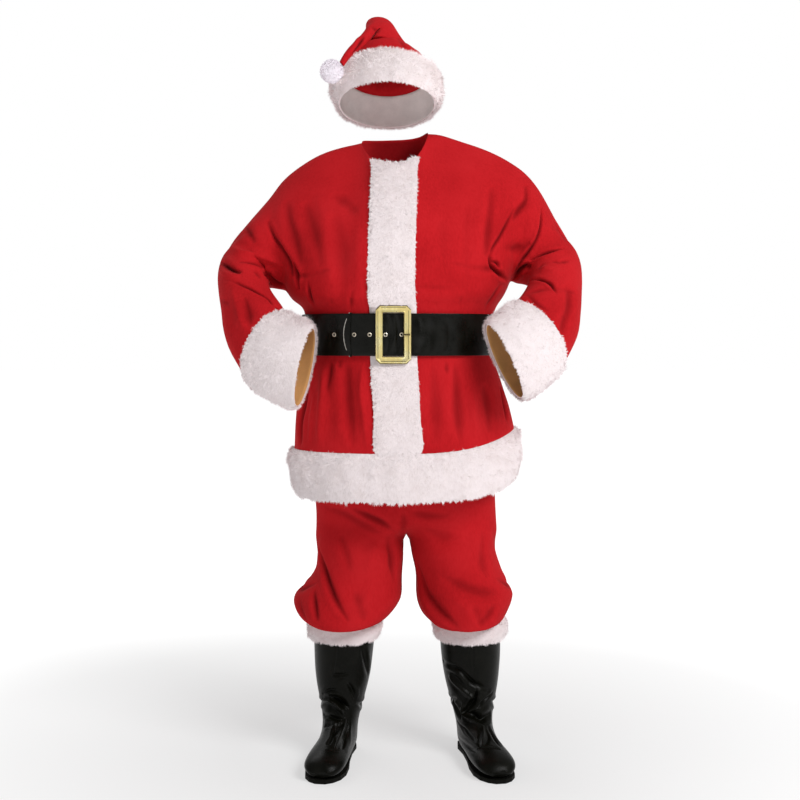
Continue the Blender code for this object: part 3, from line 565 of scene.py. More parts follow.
# jacket
jacket = {
    **redGarment,
    "pieces": {  # flat cut (width, length) and its area
        "jacket_front_right": ((0.42, 0.80), 0.267), "jacket_front_left": ((0.43, 0.80), 0.280),
        "jacket_back": ((0.74, 0.82), 0.532),
        "sleeve_right": ((0.54, 0.44), 0.181), "sleeve_left": ((0.56, 0.46), 0.190),
    },
    "seamDepth": 0.0001, "seamWidth": 0.003, "slack": 0.0022, "seed": 3.7,
    # the belt's height and half width, and how far from the middle the sleeves start
    "belt": {"height": -0.469, "half": 0.052, "fade": 0.030, "middle": 0.01, "sleeves": 0.235},
}
jacketCreases = {
    "front": [
        (5.1, 4.2, 0.5, [(292, -157), (274, -192), (253, -232), (235, -261), (228, -283)]),
        (12, 5.5, 0.3, [(228, -274), (228, -295), (238, -311), (254, -325), (273, -338)]),
        (9, 4, 0.0, [(230, -293), (243, -297), (253, -309)]),
        (6.9, 4, 0.5, [(357, -157), (356, -199), (345, -234), (326, -265), (308, -289), (292, -315)]),
        (6.3, 3.8, 0.4, [(329, -289), (359, -273), (388, -264), (424, -260)]),
        (3.3, 5, 0.0, [(375, -294), (407, -294), (455, -287)]),
        (12, 5.5, 0.0, [(293, -333), (301, -317), (314, -305), (332, -301)]),
        (8.1, 4.4, 0.4, [(327, -339), (347, -338), (369, -349), (382, -373)]),
        (6, 14, 0.0, [(260, -258), (297, -260), (330, -247)]),
        (4.2, 7, -0.3, [(320, -99), (318, -140), (299, -168), (283, -194)]),
        (6.3, 12, 0.5, [(236, -108), (229, -174), (223, -233), (217, -287)]),
        (6, 12, 0.2, [(412, -349), (411, -399), (394, -444), (392, -472)]),
        (-4.5, 10, 0.0, [(341, -310), (366, -312), (399, -324)]),
        (3.3, 7, 0.0, [(311, -373), (329, -393), (361, -415)]),
        (3, 10, 0.0, [(389, -186), (411, -215), (421, -247)]),
        (8.4, 7, -0.6, [(-312, -191), (-294, -229), (-271, -264), (-253, -296), (-242, -330)]),
        (12, 5.5, 0.0, [(-244, -294), (-235, -323), (-230, -361)]),
        (13, 7, 0.2, [(-320, -319), (-305, -329), (-286, -343), (-262, -362)]),
        (11.2, 7, 0.3, [(-428, -290), (-409, -302), (-388, -313), (-367, -319)]),
        (-5.6, 8, 0.2, [(-403, -251), (-375, -268), (-337, -276), (-298, -290), (-267, -309)]),
        (4.8, 5, 0.2, [(-378, -294), (-346, -295), (-319, -306)]),
        (7, 4.2, 0.5, [(-411, -337), (-369, -348), (-332, -365), (-300, -384), (-278, -406), (-278, -421)]),
        (4.8, 9, 0.0, [(-370, -199), (-355, -222), (-340, -246)]),
        (-4.9, 12, 0.0, [(-390, -355), (-377, -392), (-359, -435), (-344, -463)]),
        (5.6, 11, 0.3, [(-357, -378), (-344, -416), (-337, -449)]),
        (5.5, 13, 0.5, [(-266, -140), (-254, -196), (-238, -248), (-224, -305)]),
        (5, 16, 0.5, [(-222, -148), (-204, -198), (-185, -253), (-172, -312)]),
        (-6, 24, 0.2, [(-186, -134), (-166, -206), (-155, -274), (-150, -350)]),
        (6, 22, 0.3, [(-145, -181), (-132, -245), (-124, -317), (-122, -397)]),
        (-4, 16, 0.0, [(-89, -212), (-86, -285), (-86, -378)]),
        (6.5, 4.5, 0.4, [(-207, -339), (-200, -381), (-192, -421)]),
        (3.6, 5, 0.0, [(-100, -364), (-103, -392), (-106, -420)]),
        (3, 5, 0.0, [(-150, -382), (-149, -422)]),
        (5, 16, 0.0, [(-154, -129), (-120, -150), (-90, -182)]),
        (1.8, 14, 0.0, [(181, -135), (170, -208), (169, -288), (176, -363)]),
        (3.2, 7, 0.0, [(215, -416), (228, -390), (244, -366), (256, -346)]),
        (2, 6, 0.0, [(157, -378), (155, -422)]),
        (1.8, 5, 0.0, [(97, -392), (100, -423)]),
        (1.8, 16, 0.0, [(110, -184), (114, -258), (123, -341)]),
        (-9, 15.4, 0.3, [(-172, -544), (-173, -612), (-178, -672), (-181, -739)]),
        (9, 13.2, 0.4, [(-113, -529), (-113, -588), (-108, -652), (-98, -736)]),
        (-6.5, 9.9, -0.3, [(-75, -533), (-79, -599), (-72, -665), (-65, -735)]),
        (8.1, 8.8, 0.0, [(-210, -588), (-221, -632), (-229, -686), (-228, -739)]),
        (-5.4, 9.9, 0.0, [(-197, -607), (-201, -661), (-207, -727)]),
        (3.4, 7, 0.0, [(-152, -522), (-154, -558), (-161, -605)]),
        (4, 5, 0.0, [(-132, -522), (-130, -548)]),
        (4.3, 15.4, 0.3, [(90, -529), (93, -599), (97, -670), (100, -735)]),
        (6.1, 13.2, 0.5, [(143, -529), (148, -600), (152, -671), (157, -736)]),
        (3.2, 6.6, 0.0, [(121, -526), (124, -562)]),
        (4.7, 13.2, 0.0, [(214, -587), (222, -638), (228, -706)]),
        (-4.3, 11, 0.0, [(182, -593), (186, -648), (193, -714)]),
        (7.2, 7.7, 0.0, [(258, -592), (265, -633), (273, -681)]),
    ],
    "back": [
        (7, 10, 0.3, [(-235, -240), (-190, -262), (-130, -300), (-90, -350)]),
        (6.2, 9, 0.3, [(232, -236), (196, -270), (150, -312), (118, -372)]),
        (5, 12, 0.0, [(-200, -120), (-206, -180), (-222, -232)]),
        (5.6, 11, 0.0, [(196, -116), (208, -174), (222, -226)]),
        (6.3, 7.5, 0.3, [(-62, -412), (-68, -370), (-58, -316)]),
        (4.5, 5.5, 0.0, [(-18, -414), (-14, -382), (-20, -352)]),
        (7, 8, 0.4, [(46, -414), (40, -372), (52, -306)]),
        (5, 6, 0.0, [(98, -412), (104, -380), (98, -346)]),
        (7, 7, 0.0, [(-140, -412), (-132, -384), (-136, -346)]),
        (8.4, 6, 0.3, [(-186, -408), (-178, -372), (-190, -330)]),
        (7.8, 6, -0.3, [(180, -408), (172, -366), (186, -322)]),
        (-5.6, 22, 0.0, [(-90, -130), (-78, -210), (-86, -290)]),
        (-5, 24, 0.0, [(84, -124), (92, -200), (80, -284)]),
        (7.7, 13, 0.3, [(-160, -530), (-166, -600), (-160, -672), (-166, -740)]),
        (-6.4, 13, 0.0, [(-112, -534), (-110, -610), (-120, -690), (-116, -742)]),
        (8.4, 12, 0.4, [(-60, -528), (-66, -598), (-56, -670), (-60, -742)]),
        (4.5, 6, 0.0, [(-20, -528), (-18, -560), (-22, -596)]),
        (7, 11, -0.3, [(28, -528), (24, -600), (34, -668), (30, -742)]),
        (-5.6, 12, 0.0, [(78, -530), (76, -606), (84, -690), (82, -742)]),
        (8.1, 12, 0.2, [(126, -528), (130, -590), (124, -662), (132, -740)]),
        (5.6, 9, 0.0, [(190, -534), (196, -600), (204, -668)]),
        (4.8, 5, 0.0, [(98, -526), (100, -552), (96, -580)]),
        (14, 6, 0.3, [(420, -300), (386, -318), (350, -318), (322, -304)]),
        (8.4, 6, 0.3, [(428, -352), (392, -366), (356, -362)]),
        (6.2, 8, 0.0, [(372, -196), (344, -232), (304, -256)]),
        (5.6, 8, 0.0, [(330, -150), (306, -196), (272, -232)]),
        (12.6, 6.5, 0.3, [(-404, -322), (-372, -340), (-336, -342), (-306, -330)]),
        (8.4, 6, 0.3, [(-396, -380), (-366, -394), (-336, -392)]),
        (6.4, 8, 0.0, [(-366, -226), (-330, -256), (-288, -276)]),
        (5, 8, 0.0, [(-318, -168), (-290, -212), (-262, -244)]),
    ],
    "left": [
        (3.5, 7.8, 0.3, [(-180, -300), (-140, -312), (-90, -300)]),
        (3.1, 7.8, 0.3, [(-200, -356), (-160, -366), (-110, -356)]),
        (2.5, 11.7, 0.0, [(-60, -190), (-20, -230), (4, -276)]),
    ],
    "right": [
        (3.5, 7.8, 0.3, [(-176, -316), (-136, -328), (-86, -316)]),
        (3.1, 7.8, 0.3, [(-204, -386), (-164, -396), (-112, -384)]),
        (2.5, 11.7, 0.0, [(-56, -206), (-20, -246), (6, -288)]),
    ],
}

makeGarment(jacket, jacketCreases)
print("jacket made")

# trousers: four panels and the waistband
trousers = {
    **redGarment,
    "pieces": {
        "trouser_front_right": ((0.36, 0.72), 0.236), "trouser_front_left": ((0.36, 0.72), 0.233),
        "trouser_back_right": ((0.36, 0.72), 0.229), "trouser_back_left": ((0.36, 0.72), 0.227),
        "trouser_waistband": ((1.33, 0.0425), 0.056),
    },
    "seamDepth": 0.0012, "seamWidth": 0.004, "slack": 0.0024, "seed": 9.1, "held": "hung",
}
trouserCreases = {
    "front": [
        (6, 10, 0.3, [(-104, -889), (-65, -909), (-26, -929), (5, -951)]),
        (5, 13, 0.0, [(-180, -888), (-124, -906), (-75, -933), (-31, -955)]),
        (8, 12, 0.2, [(-17, -960), (-10, -998), (-5, -1039), (0, -1084)]),
        (7, 8, 0.5, [(-189, -990), (-173, -1043), (-151, -1096), (-131, -1131), (-111, -1162)]),
        (5.5, 7.5, 0.5, [(-199, -1096), (-193, -1130), (-186, -1165)]),
        (3.6, 12, 0.0, [(-134, -956), (-119, -998), (-109, -1045)]),
        (-5, 16, 0.0, [(-48, -1066), (-70, -1112), (-92, -1153)]),
        (-5, 12, 0.0, [(-29, -960), (-51, -997), (-70, -1045)]),
        (3.4, 12, 0.0, [(-99, -1089), (-85, -1126), (-70, -1165)]),
        (8, 12, 0.5, [(52, -1028), (72, -1090), (101, -1132), (129, -1156), (155, -1179)]),
        (5, 14, 0.3, [(110, -1054), (154, -1075), (203, -1092), (258, -1100)]),
        (3.4, 16, 0.0, [(71, -940), (110, -960), (159, -964)]),
        (3.4, 14, 0.0, [(187, -1120), (204, -1149), (214, -1178)]),
        (-4.5, 15, 0.0, [(139, -1107), (172, -1133), (191, -1169)]),
        (4, 14, 0.0, [(219, -949), (214, -1011), (228, -1068)]),
        (3, 10, 0.0, [(-238, -1117), (-229, -1147), (-210, -1175)]),
        (4, 11, 0.0, [(247, -1123), (226, -1152), (201, -1172)]),
        (3, 9, 0.3, [(20, -897), (22, -926), (20, -954)]),
        (4, 12, 0.0, [(41, -897), (85, -908), (139, -909)]),
    ],
    "back": [
        (11.2, 8, 0.3, [(-20, -930), (-70, -946), (-130, -936)]),
        (11.2, 8, -0.3, [(26, -926), (80, -944), (146, -930)]),
        (7, 10, 0.0, [(-36, -980), (-86, -1006), (-150, -1000)]),
        (6.4, 10, 0.0, [(50, -976), (110, -1000), (176, -990)]),
        (9.8, 7, 0.4, [(-180, -1060), (-150, -1096), (-100, -1120), (-50, -1116)]),
        (9.8, 7, 0.4, [(216, -1056), (180, -1094), (130, -1116), (84, -1108)]),
        (7, 8, 0.3, [(-190, -1110), (-156, -1140), (-116, -1160)]),
        (7, 8, 0.3, [(222, -1106), (190, -1138), (150, -1160)]),
        (-5, 14, 0.0, [(-110, -960), (-120, -1020), (-104, -1080)]),
        (-5, 14, 0.0, [(140, -960), (150, -1020), (136, -1080)]),
    ],
    "right": [
        (4.2, 9.1, 0.3, [(-70, -1080), (-20, -1104), (40, -1096)]),
        (3.1, 11.7, 0.0, [(-50, -960), (-10, -1010), (10, -1060)]),
    ],
    "left": [
        (4.2, 9.1, 0.3, [(-70, -1070), (-20, -1094), (46, -1084)]),
        (3.1, 11.7, 0.0, [(-46, -950), (-6, -1000), (16, -1050)]),
    ],
}

makeGarment(trousers, trouserCreases)
print("trousers made")

# hat cone
hat = {
    **redGarment,
    "pieces": {"hat_cone": ((0.70, 0.30), 0.087)},
    "slack": 0.0012, "seed": 5.3, "edges": (0.0, 0.87), "finer": [(2.5, 0.02)],
    "front": {"left": -0.050, "rounds": 18, "rows": [  # height, how far forward, and the right side
        (0.235, -0.093, 0.040), (0.251, -0.079, 0.024), (0.267, -0.067, 0.014), (0.283, -0.054, 0.004),
        (0.299, -0.036, -0.006)]},
}
hatCreases = {
    "front": [
        (5.8, 4.5, 0.5, [(-74, 251), (-88, 222), (-104, 200)]),
        (2.6, 8, 0.0, [(8, 266), (17, 235), (24, 210)]),
        (2.6, 5, 0.0, [(-58, 280), (-48, 269), (-36, 263)]),
    ],
    "back": [
        (5.6, 6, 0.0, [(-40, 230), (0, 256), (30, 286)]),
        (5, 7, 0.0, [(50, 170), (30, 200), (20, 236)]),
        (4.2, 8, 0.0, [(-50, 160), (-46, 190), (-60, 216)]),
    ],
}

makeGarment(hat, hatCreases)
print("hat cone made")


# fur trim: a plush body on its backing, and loose hairs in tufts on it
fur = {
    # root, middle and tip; the darker root is painted shade down in the fur, where the hairs cast no shadow,
    # and the plush bodies take the three tones at random
    "white": (shade(0.62, 0.52, 0.51), shade(0.75, 0.665, 0.67), shade(0.82, 0.74, 0.755)),
    "pompom": (shade(0.55, 0.46, 0.50), shade(0.74, 0.68, 0.74), shade(0.82, 0.77, 0.84)),
    "tan": shade(0.60, 0.31, 0.115), "knit": shade(0.80, 0.76, 0.74),
    "strands": (shade(0.84, 0.81, 0.79), shade(0.96, 0.955, 0.95), shade(1, 1, 1)),
}


def plushFinish(name, tones):
    plush = Finish(name, Roughness=1.0, Sheen_Weight=0.1, Specular_IOR_Level=0.1)
    tufts = plush.grain(60.0, 2.0)
    fibre = plush.grain(420.0, 2.0, (1, 1, 0.3))
    tone = plush.between(tufts * 0.6 + fibre * 0.4, 0.30, 0.60)
    height = tufts * 0.5 + fibre * 0.5
    return plush.feed(Base_Color=plush.evenRamp(tone, tones), Normal=plush.bump(height, 0.003, 0.5))


def hairFinish(name, tones):
    hair = Finish(name, Roughness=0.9, Specular_IOR_Level=0.1)
    spot = hair.node("ShaderNodeUVMap", {"uv_map": "OFBake"})
    strand, height = (hair.node("ShaderNodeSeparateXYZ", None, {0: spot}, out=way) for way in ("X", "Y"))
    # painted shade: each hair darkens from its tip down to its root
    along = hair.evenRamp(height, tones, 0.8)
    return hair.feed(Base_Color=hair.mix(1.0, along, hair.evenRamp(strand, fur["strands"]), "MULTIPLY"))


def backingFinish(name, colour):
    knit = Finish(name, Roughness=0.9, Specular_IOR_Level=0.15)
    weave = knit.grain(700.0, 2.0)
    tone = knit.between(weave * 0.5 + knit.grain(30.0) * 0.5, 0.35, 0.65)
    dark = shade(*(value * 0.8 for value in colour[:3]))
    return knit.feed(Base_Color=knit.mix(tone, dark, colour), Normal=knit.bump(weave, 0.0004, 0.5))


furPlush, furHair = plushFinish("fur_plush", fur["white"]), hairFinish("fur_hair", fur["white"])
backings = {
    "tan": backingFinish("cuff_backing", fur["tan"]),
    "knit": backingFinish("fur_backing", fur["knit"]),
}
pile = {  # what the fur trims share
    "thin": 0.0, "levels": 2, "backing": "knit", "creases": {}, "body": 0.60, "lumps": 0.8,
    "rise": 0.62, "loose": 0.42, "over": 0.8, "edge": 0.012, "long": 1.35, "extra": 0.003, "width": 0.0012,
    "tuft": 14, "pull": 0.30, "ragged": 0.35, "soft": 0.46, "tone": 0.55,
}
hemCreases = {
    "front": [
        (8, 11.9, 0.0, [(-91, -780), (-77, -787), (-77, -834)]),
        (4, 13.6, 0.0, [(-127, -764), (-124, -811), (-122, -860)]),
        (3.5, 15.3, 0.0, [(-194, -764), (-191, -807), (-184, -854)]),
        (-4, 17, 0.0, [(-103, -754), (-100, -801), (-98, -854)]),
        (4, 13.6, 0.0, [(-25, -751), (-27, -796), (-30, -857)]),
        (3, 15.3, 0.0, [(36, -753), (38, -810), (36, -862)]),
        (3.5, 17, 0.0, [(83, -786), (88, -834)]),
        (4, 15.3, 0.0, [(142, -748), (140, -799), (135, -854)]),
        (6, 15.3, 0.0, [(195, -738), (195, -790), (188, -842)]),
        (4, 11.9, 0.0, [(248, -735), (244, -780), (233, -829)]),
    ],
    "back": [
        (7, 18, 0.0, [(-160, -715), (-164, -770), (-160, -850)]),
        (5, 20, 0.0, [(-100, -720), (-96, -790), (-104, -850)]),
        (8, 16, 0.0, [(-20, -712), (-24, -780), (-16, -852)]),
        (4, 20, 0.0, [(50, -724), (54, -790), (50, -846)]),
        (7, 18, 0.0, [(130, -714), (136, -780), (130, -850)]),
        (5, 18, 0.0, [(210, -716), (214, -780), (208, -848)]),
    ],
    "left": [
        (6, 18, 0.0, [(-60, -716), (-56, -780), (-62, -848)]),
        (6, 18, 0.0, [(50, -716), (54, -780), (50, -848)]),
    ],
    "right": [
        (6, 18, 0.0, [(-50, -720), (-54, -780), (-48, -848)]),
        (6, 18, 0.0, [(60, -720), (56, -780), (62, -848)]),
    ],
}
sleeveCuff = {"thin": 0.0056, "reach": 0.0145, "round": 0.022, "body": 0.5, "hairs": 26000, "backing": "tan",
              "cut": ((0.52, 0.12), 0.057)}
legCuff = {"thin": 0.0035, "reach": 0.0115, "round": 0.014, "hairs": 13000, "comb": (0, 0, -0.80),
           "edge": 0.010, "tuft": 24, "cut": ((0.55, 0.07), 0.034)}
furTrims = {  # what differs from the pile above; "cut" is the flat size and its area
    "hem_fur": {"reach": 0.0140, "round": 0.030, "seed": 11, "hairs": 62000, "comb": (0, 0, -0.80),
                "over": 1.7, "lumps": 1.2, "long": 1.5, "ragged": 0.75, "creases": hemCreases,
                "cut": ((1.52, 0.13), 0.195)},
    "placket_fur": {"reach": 0.0125, "round": 0.020, "seed": 12, "hairs": 27000, "comb": (0, 0, -0.70),
                    "edge": 0.010, "soft": 0.36, "pressed": (-0.469, 0.064, 0.0036),
                    "cut": ((0.12, 0.78), 0.086)},
    "cuff_fur_right": {**sleeveCuff, "seed": 13, "comb": (0.25, -0.1, -0.55)},
    "cuff_fur_left": {**sleeveCuff, "seed": 14, "comb": (-0.25, -0.1, -0.55)},
    "hat_band_fur": {"reach": 0.0175, "round": 0.028, "seed": 15, "hairs": 28000, "comb": (0.25, 0, -0.25),
                     "tone": 0.30, "loose": 0.34, "ragged": 0.25, "soft": 0.42,
                     "cut": ((0.74, 0.092), 0.067)},
    "trouser_cuff_fur_right": {**legCuff, "seed": 16},
    "trouser_cuff_fur_left": {**legCuff, "seed": 17},
}


def closedAround(faces, count):
    # the same faces turned over on a second layer of points, and the strip round the edge that joins the two
    ends = {}
    for face in faces:
        for a, b in zip(face, face[1:] + face[:1]):
            if (b, a) in ends:
                del ends[(b, a)]
            else:
                ends[(a, b)] = True
    return [tuple(vert + count for vert in reversed(face)) for face in faces] + [
        (b, a, a + count, b + count) for a, b in ends]


def plushBody(name, skin, settings):
    # the backing with a rounded body of fur on it; also returns what the hairs need to know
    mesh = smoothed(skin, settings["levels"])
    points, outward, seed = coordinates(mesh), -coordinates(mesh, "normal"), settings["seed"]
    rim = edgeLines(mesh)
    gap, _ = distanceTo(points, points[rim])
    curve = np.sqrt(np.clip(1 - (1 - np.clip(gap / settings["round"], 0, 1)) ** 2, 0, 1))
    reach = settings["reach"] * (0.30 + 0.70 * curve)
    away = np.ones(len(points))
    if "pressed" in settings:
        middle, half, least = settings["pressed"]
        away = np.clip((np.abs(points[:, 2] - middle) - half) / 0.012, 0, 1)
        reach = least + (reach - least) * away
    lumps = 1 + settings["lumps"] * unevenness(points, 0.050, 2, seed)
    lumps = lumps + 0.15 * unevenness(points, 0.013, 1, seed)
    folds, _ = creased(mesh, creaseLines(mesh, settings["creases"]), seed)
    body = np.maximum(reach * settings["body"] * lumps + folds, 0.0012)[:, None]
    faces = [tuple(face.vertices) for face in mesh.polygons]
    around = closedAround(faces, len(points))
    whole = bpy.data.meshes.new(name)
    whole.from_pydata(np.vstack([points, points + outward * body]).tolist(), [], faces + around)
    for material in (furPlush, backings[settings["backing"]]):
        whole.materials.append(material)
    whole.polygons.foreach_set("material_index", [1] * len(faces) + [0] * len(around))
    whole.shade_smooth()
    whole.update()
    lit = unit(coordinates(whole, "normal")[len(points):])
    bpy.data.meshes.remove(mesh)
    return pieceOf(name, whole), {"points": points + outward * body * 0.8, "outward": outward, "lit": lit,
                                  "faces": faces, "reach": reach, "haired": away > 0.3, "rim": points[rim]}


def scattered(rng, body, count):
    # places spread evenly over the surface: the three corners of each, and their weights
    triangles = np.array([corners for face in body["faces"]
                          for corners in ([face[0], face[1], face[2]], [face[0], face[2], face[-1]])
                          if len(set(corners)) == 3])
    a, b, c = (body["points"][triangles[:, i]] for i in range(3))
    areas = np.linalg.norm(np.cross(b - a, c - a), axis=1) * body["haired"][triangles].all(1)
    picked = rng.choice(len(triangles), count, p=areas / areas.sum())
    share = rng.random((count, 2))
    fold = share.sum(1) > 1
    share[fold] = 1 - share[fold]
    return triangles[picked], np.column_stack([1 - share.sum(1), share])


def bladesMesh(name, corners, tone):
    # narrow blades, each of a root, two sides and a tip; their UV holds the strand's tone and the height
    count = len(corners)
    mesh = bpy.data.meshes.new(name)
    mesh.vertices.add(count * 4)
    mesh.vertices.foreach_set("co", corners.astype(np.float32).ravel())
    loops = np.array([0, 2, 1, 1, 2, 3]) + 4 * np.arange(count)[:, None]
    mesh.loops.add(count * 6)
    mesh.loops.foreach_set("vertex_index", loops.ravel().astype(np.int32))
    mesh.polygons.add(count * 2)
    mesh.polygons.foreach_set("loop_start", np.arange(0, count * 6, 3).astype(np.int32))
    mesh.update(calc_edges=True)
    mesh.shade_smooth()
    uv = np.empty((count, 6, 2))
    uv[:, :, 0] = tone[:, None] + np.array([0.0, 0.01, -0.01, -0.01, 0.01, 0.0])
    uv[:, :, 1] = np.array([0.02, 0.5, 0.5, 0.5, 0.5, 0.98])
    mesh.uv_layers.new(name="OFBake").data.foreach_set("uv", uv.astype(np.float32).ravel())
    return mesh


def hairs(name, body, settings, material):
    # each hair is a narrow blade that leans with its neighbours towards the tip of its tuft
    rng, count, seed = np.random.default_rng(settings["seed"]), settings["hairs"], settings["seed"]
    corners, weights = scattered(rng, body, count)
    roots = (body["points"][corners] * weights[..., None]).sum(1)
    normals = unit((body["outward"][corners] * weights[..., None]).sum(1))
    reach = (body["reach"][corners] * weights).sum(1)
    comb = np.tile(np.array(settings["comb"], float), (count, 1))
    way = normals * settings["rise"] + tangent(comb, normals)
    if len(body["rim"]):
        gap, which = distanceTo(roots, body["rim"])
        over = unit(tangent(body["rim"][which] - roots, normals))
        way += over * np.exp(-gap / settings["edge"])[:, None] * settings["over"]
    way = unit(way + tangent(rng.normal(size=(count, 3)), normals) * settings["loose"])
    length = reach * (1 - settings["body"] * 0.8) + settings["extra"]
    length *= settings["long"] * (0.7 + 0.5 * rng.random(count))
    length *= 1 + settings["ragged"] * unevenness(roots, 0.016, 2, seed + 0.5)
    centres = np.arange(0, count, settings["tuft"])
    mine = centres[distanceTo(roots, roots[centres])[1]]
    tuftTips = (roots + way * (length * 1.08)[:, None])[mine] + (roots - roots[mine]) * 0.35
    own = roots + way * length[:, None]
    tips = own + (tuftTips - own) * (settings["pull"] * (0.5 + rng.random(count)))[:, None]
    middles = roots * 0.25 + (roots + normals * (length * 0.6)[:, None]) * 0.5 + tips * 0.25
    twist = tangent(rng.normal(size=(count, 3)), normals) * 0.12
    twist *= np.linalg.norm(tips - roots, axis=1)[:, None]
    side = unit(np.cross(tips - roots, normals) + twist)
    side *= np.sign((np.cross(side, middles - roots) * normals).sum(1))[:, None]
    width = settings["width"] * (0.7 + 0.6 * rng.random(count))[:, None] / 2
    blades = np.stack([roots, middles - side * width, middles + side * width, tips], axis=1)
    tone = settings["tone"] + 0.35 * unevenness(roots, 0.035, 2, seed + 2.0) + 0.07 * rng.normal(size=count)
    mesh = bladesMesh(name, blades, np.clip(tone, 0.02, 0.98))
    mesh.materials.append(material)
    lit = (body["lit"][corners] * weights[..., None]).sum(1) * settings["soft"]
    lit = unit(lit + unit(np.cross(side, tips - roots)) * (1 - settings["soft"]))
    mesh.normals_split_custom_set(np.repeat(lit, 6, axis=0).tolist())
    piece = pieceOf(name, mesh)
    piece.visible_shadow = piece.visible_diffuse = False
    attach(piece, "root")
    return piece


for node, differs in furTrims.items():
    settings = {**pile, **differs}
    body, shape = plushBody(node + "_plush", sewn([node], settings["thin"], inner=True), settings)
    loose = hairs(node + "_hair", shape, settings, furHair)
    settle(body, node)
    print(node, "made")

pompom = {
    **pile, "radius": 0.030, "core": 0.78, "hairs": 9000, "seed": 18, "comb": (0, 0, -0.3), "rise": 0.9,
    "long": 1.0, "extra": 0.001, "width": 0.0015, "body": 0.3, "soft": 0.45, "tuft": 8, "ragged": 0.1,
}


def makePompom():
    low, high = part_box("hat_pompom")
    coreRadius = pompom["radius"] * pompom["core"]
    deselectAll()
    bpy.ops.mesh.primitive_ico_sphere_add(subdivisions=4, radius=coreRadius, location=(low + high) / 2)
    core = bpy.context.active_object
    core.name = "hat_pompom_core"
    bpy.ops.object.transform_apply(location=True, rotation=True, scale=True)
    points, normals = coordinates(core.data), coordinates(core.data, "normal")
    points += normals * (0.0018 * unevenness(points, 0.014, 2, 4.0))[:, None]
    setCoordinates(core.data, points)
    core.data.shade_smooth()
    core.data.materials.append(plushFinish("pompom_plush", fur["pompom"]))
    shape = {"points": points, "outward": normals, "lit": normals, "rim": [],
             "faces": [tuple(face.vertices) for face in core.data.polygons],
             "reach": np.full(len(points), pompom["radius"] - coreRadius),
             "haired": np.ones(len(points), bool)}
    hairs("hat_pompom_hair", shape, pompom, hairFinish("pompom_hair", fur["pompom"]))
    settle(core, "hat_pompom")


makePompom()
print("fur made")


# belt: strap, buckle, eyelets and keeper
belt = {
    "wall": 0.0030, "bevel": 0.0007, "cuts": 9, "slack": 0.0003, "finer": [(1.7, 0.012)],
    "flat": (0.100, 1.62), "area": 0.160,
    "black": shade(0.0024, 0.0024, 0.0014), "scuffed": shade(0.0052, 0.0051, 0.0036),
}
strapCreases = {
    "front": [
        (3, 7, 0.0, [(-151, -429), (-149, -472), (-151, -510)]),
        (3.4, 5, 0.4, [(-16, -423), (-11, -467), (-18, -512)]),
        (3.4, 4.5, 0.4, [(3, -423), (8, -467), (3, -512)]),
        (-4, 9, 0.0, [(55, -428), (57, -467), (52, -510)]),
        (2.6, 8, 0.0, [(83, -430), (85, -472), (81, -514)]),
        (2.4, 9, 0.0, [(123, -430), (131, -472), (123, -514)]),
        (2.4, 8, 0.0, [(169, -434), (177, -477), (167, -517)]),
        (2.4, 7, 0.0, [(-183, -431), (-186, -472), (-181, -510)]),
    ],
}


def leatherFinish(name, roughness, creaseScale, height, shine=0.09):
    leather = Finish(name, Specular_IOR_Level=shine)
    pebble = leather.grain(620.0, 2.0)
    wear = leather.grain(26.0, 4.0, rough=0.6)
    soft = leather.grain(creaseScale, 2.0)
    colour = leather.ramp(leather.between(wear, 0.40, 0.70), [(0.0, belt["black"]), (1.0, belt["scuffed"])])
    gloss = leather.between(wear * 0.5 + pebble * 0.5, 0.35, 0.65, roughness, roughness + 0.14)
    return leather.feed(Base_Color=colour, Roughness=gloss,
                        Normal=leather.bump(soft * 0.7 + pebble * 0.3, height, 0.5))


beltLeather = leatherFinish("belt_leather", 0.24, 40.0, 0.0006, 0.17)


def isAcross(edge):
    # the strap's edges that run from its lower border to its upper one
    rise = abs(edge.verts[0].co.z - edge.verts[1].co.z)
    return rise > 0.012 and rise > 0.9 * edge.calc_length()


def makeStrap():
    skin = skinOf("belt_strap")
    across = [edge for edge in skin.edges if isAcross(edge)]
    bmesh.ops.subdivide_edges(skin, edges=across, cuts=belt["cuts"], use_grid_fill=True)
    mesh = smoothed(meshOf(skin, "strap"), 1)
    lines = creaseLines(mesh, strapCreases)
    finer(mesh, lines, belt["finer"])
    points, normals = coordinates(mesh), coordinates(mesh, "normal")
    moved = belt["slack"] * unevenness(points, 0.05, 2, 8.0) + creased(mesh, lines, 6.1)[0]
    setCoordinates(mesh, points + normals * moved[:, None])
    mesh.shade_smooth()
    strap = pieceOf("belt_strap_leather", mesh)
    mesh.materials.append(beltLeather)
    addWall(strap, belt["wall"])
    addBevel(strap, belt["bevel"], 0.9)
    applyAll(strap)
    settle(strap, "belt_strap")


makeStrap()

brass = {  # dark, middle and bright tones
    "buckle": (shade(0.78, 0.62, 0.24), shade(0.88, 0.75, 0.33), shade(0.95, 0.85, 0.46)),
    # the edge tones are painted shade on the buckle's rim and groove, and the whole prong is painted with
    # them too
    "edge": (shade(0.07, 0.055, 0.02), shade(0.14, 0.11, 0.045), shade(0.26, 0.21, 0.09)),
    "eyelet": (shade(0.36, 0.31, 0.23), shade(0.54, 0.48, 0.38), shade(0.76, 0.70, 0.60)),
}


def brassFinish(name, tones, stroke=(1, 1, 1)):
    metal = Finish(name, Specular_IOR_Level=0.5)
    brushed = metal.grain(160.0, 3.0, stroke)
    tone = metal.between(brushed * 0.45 + metal.grain(28.0) * 0.55, 0.36, 0.64)
    return metal.feed(Base_Color=metal.evenRamp(tone, tones),
                      Metallic=metal.between(tone, 0.0, 1.0, 0.55, 0.65),
                      Roughness=metal.between(tone, 0.0, 1.0, 0.36, 0.24),
                      Normal=metal.bump(brushed, 0.00012, 0.6))


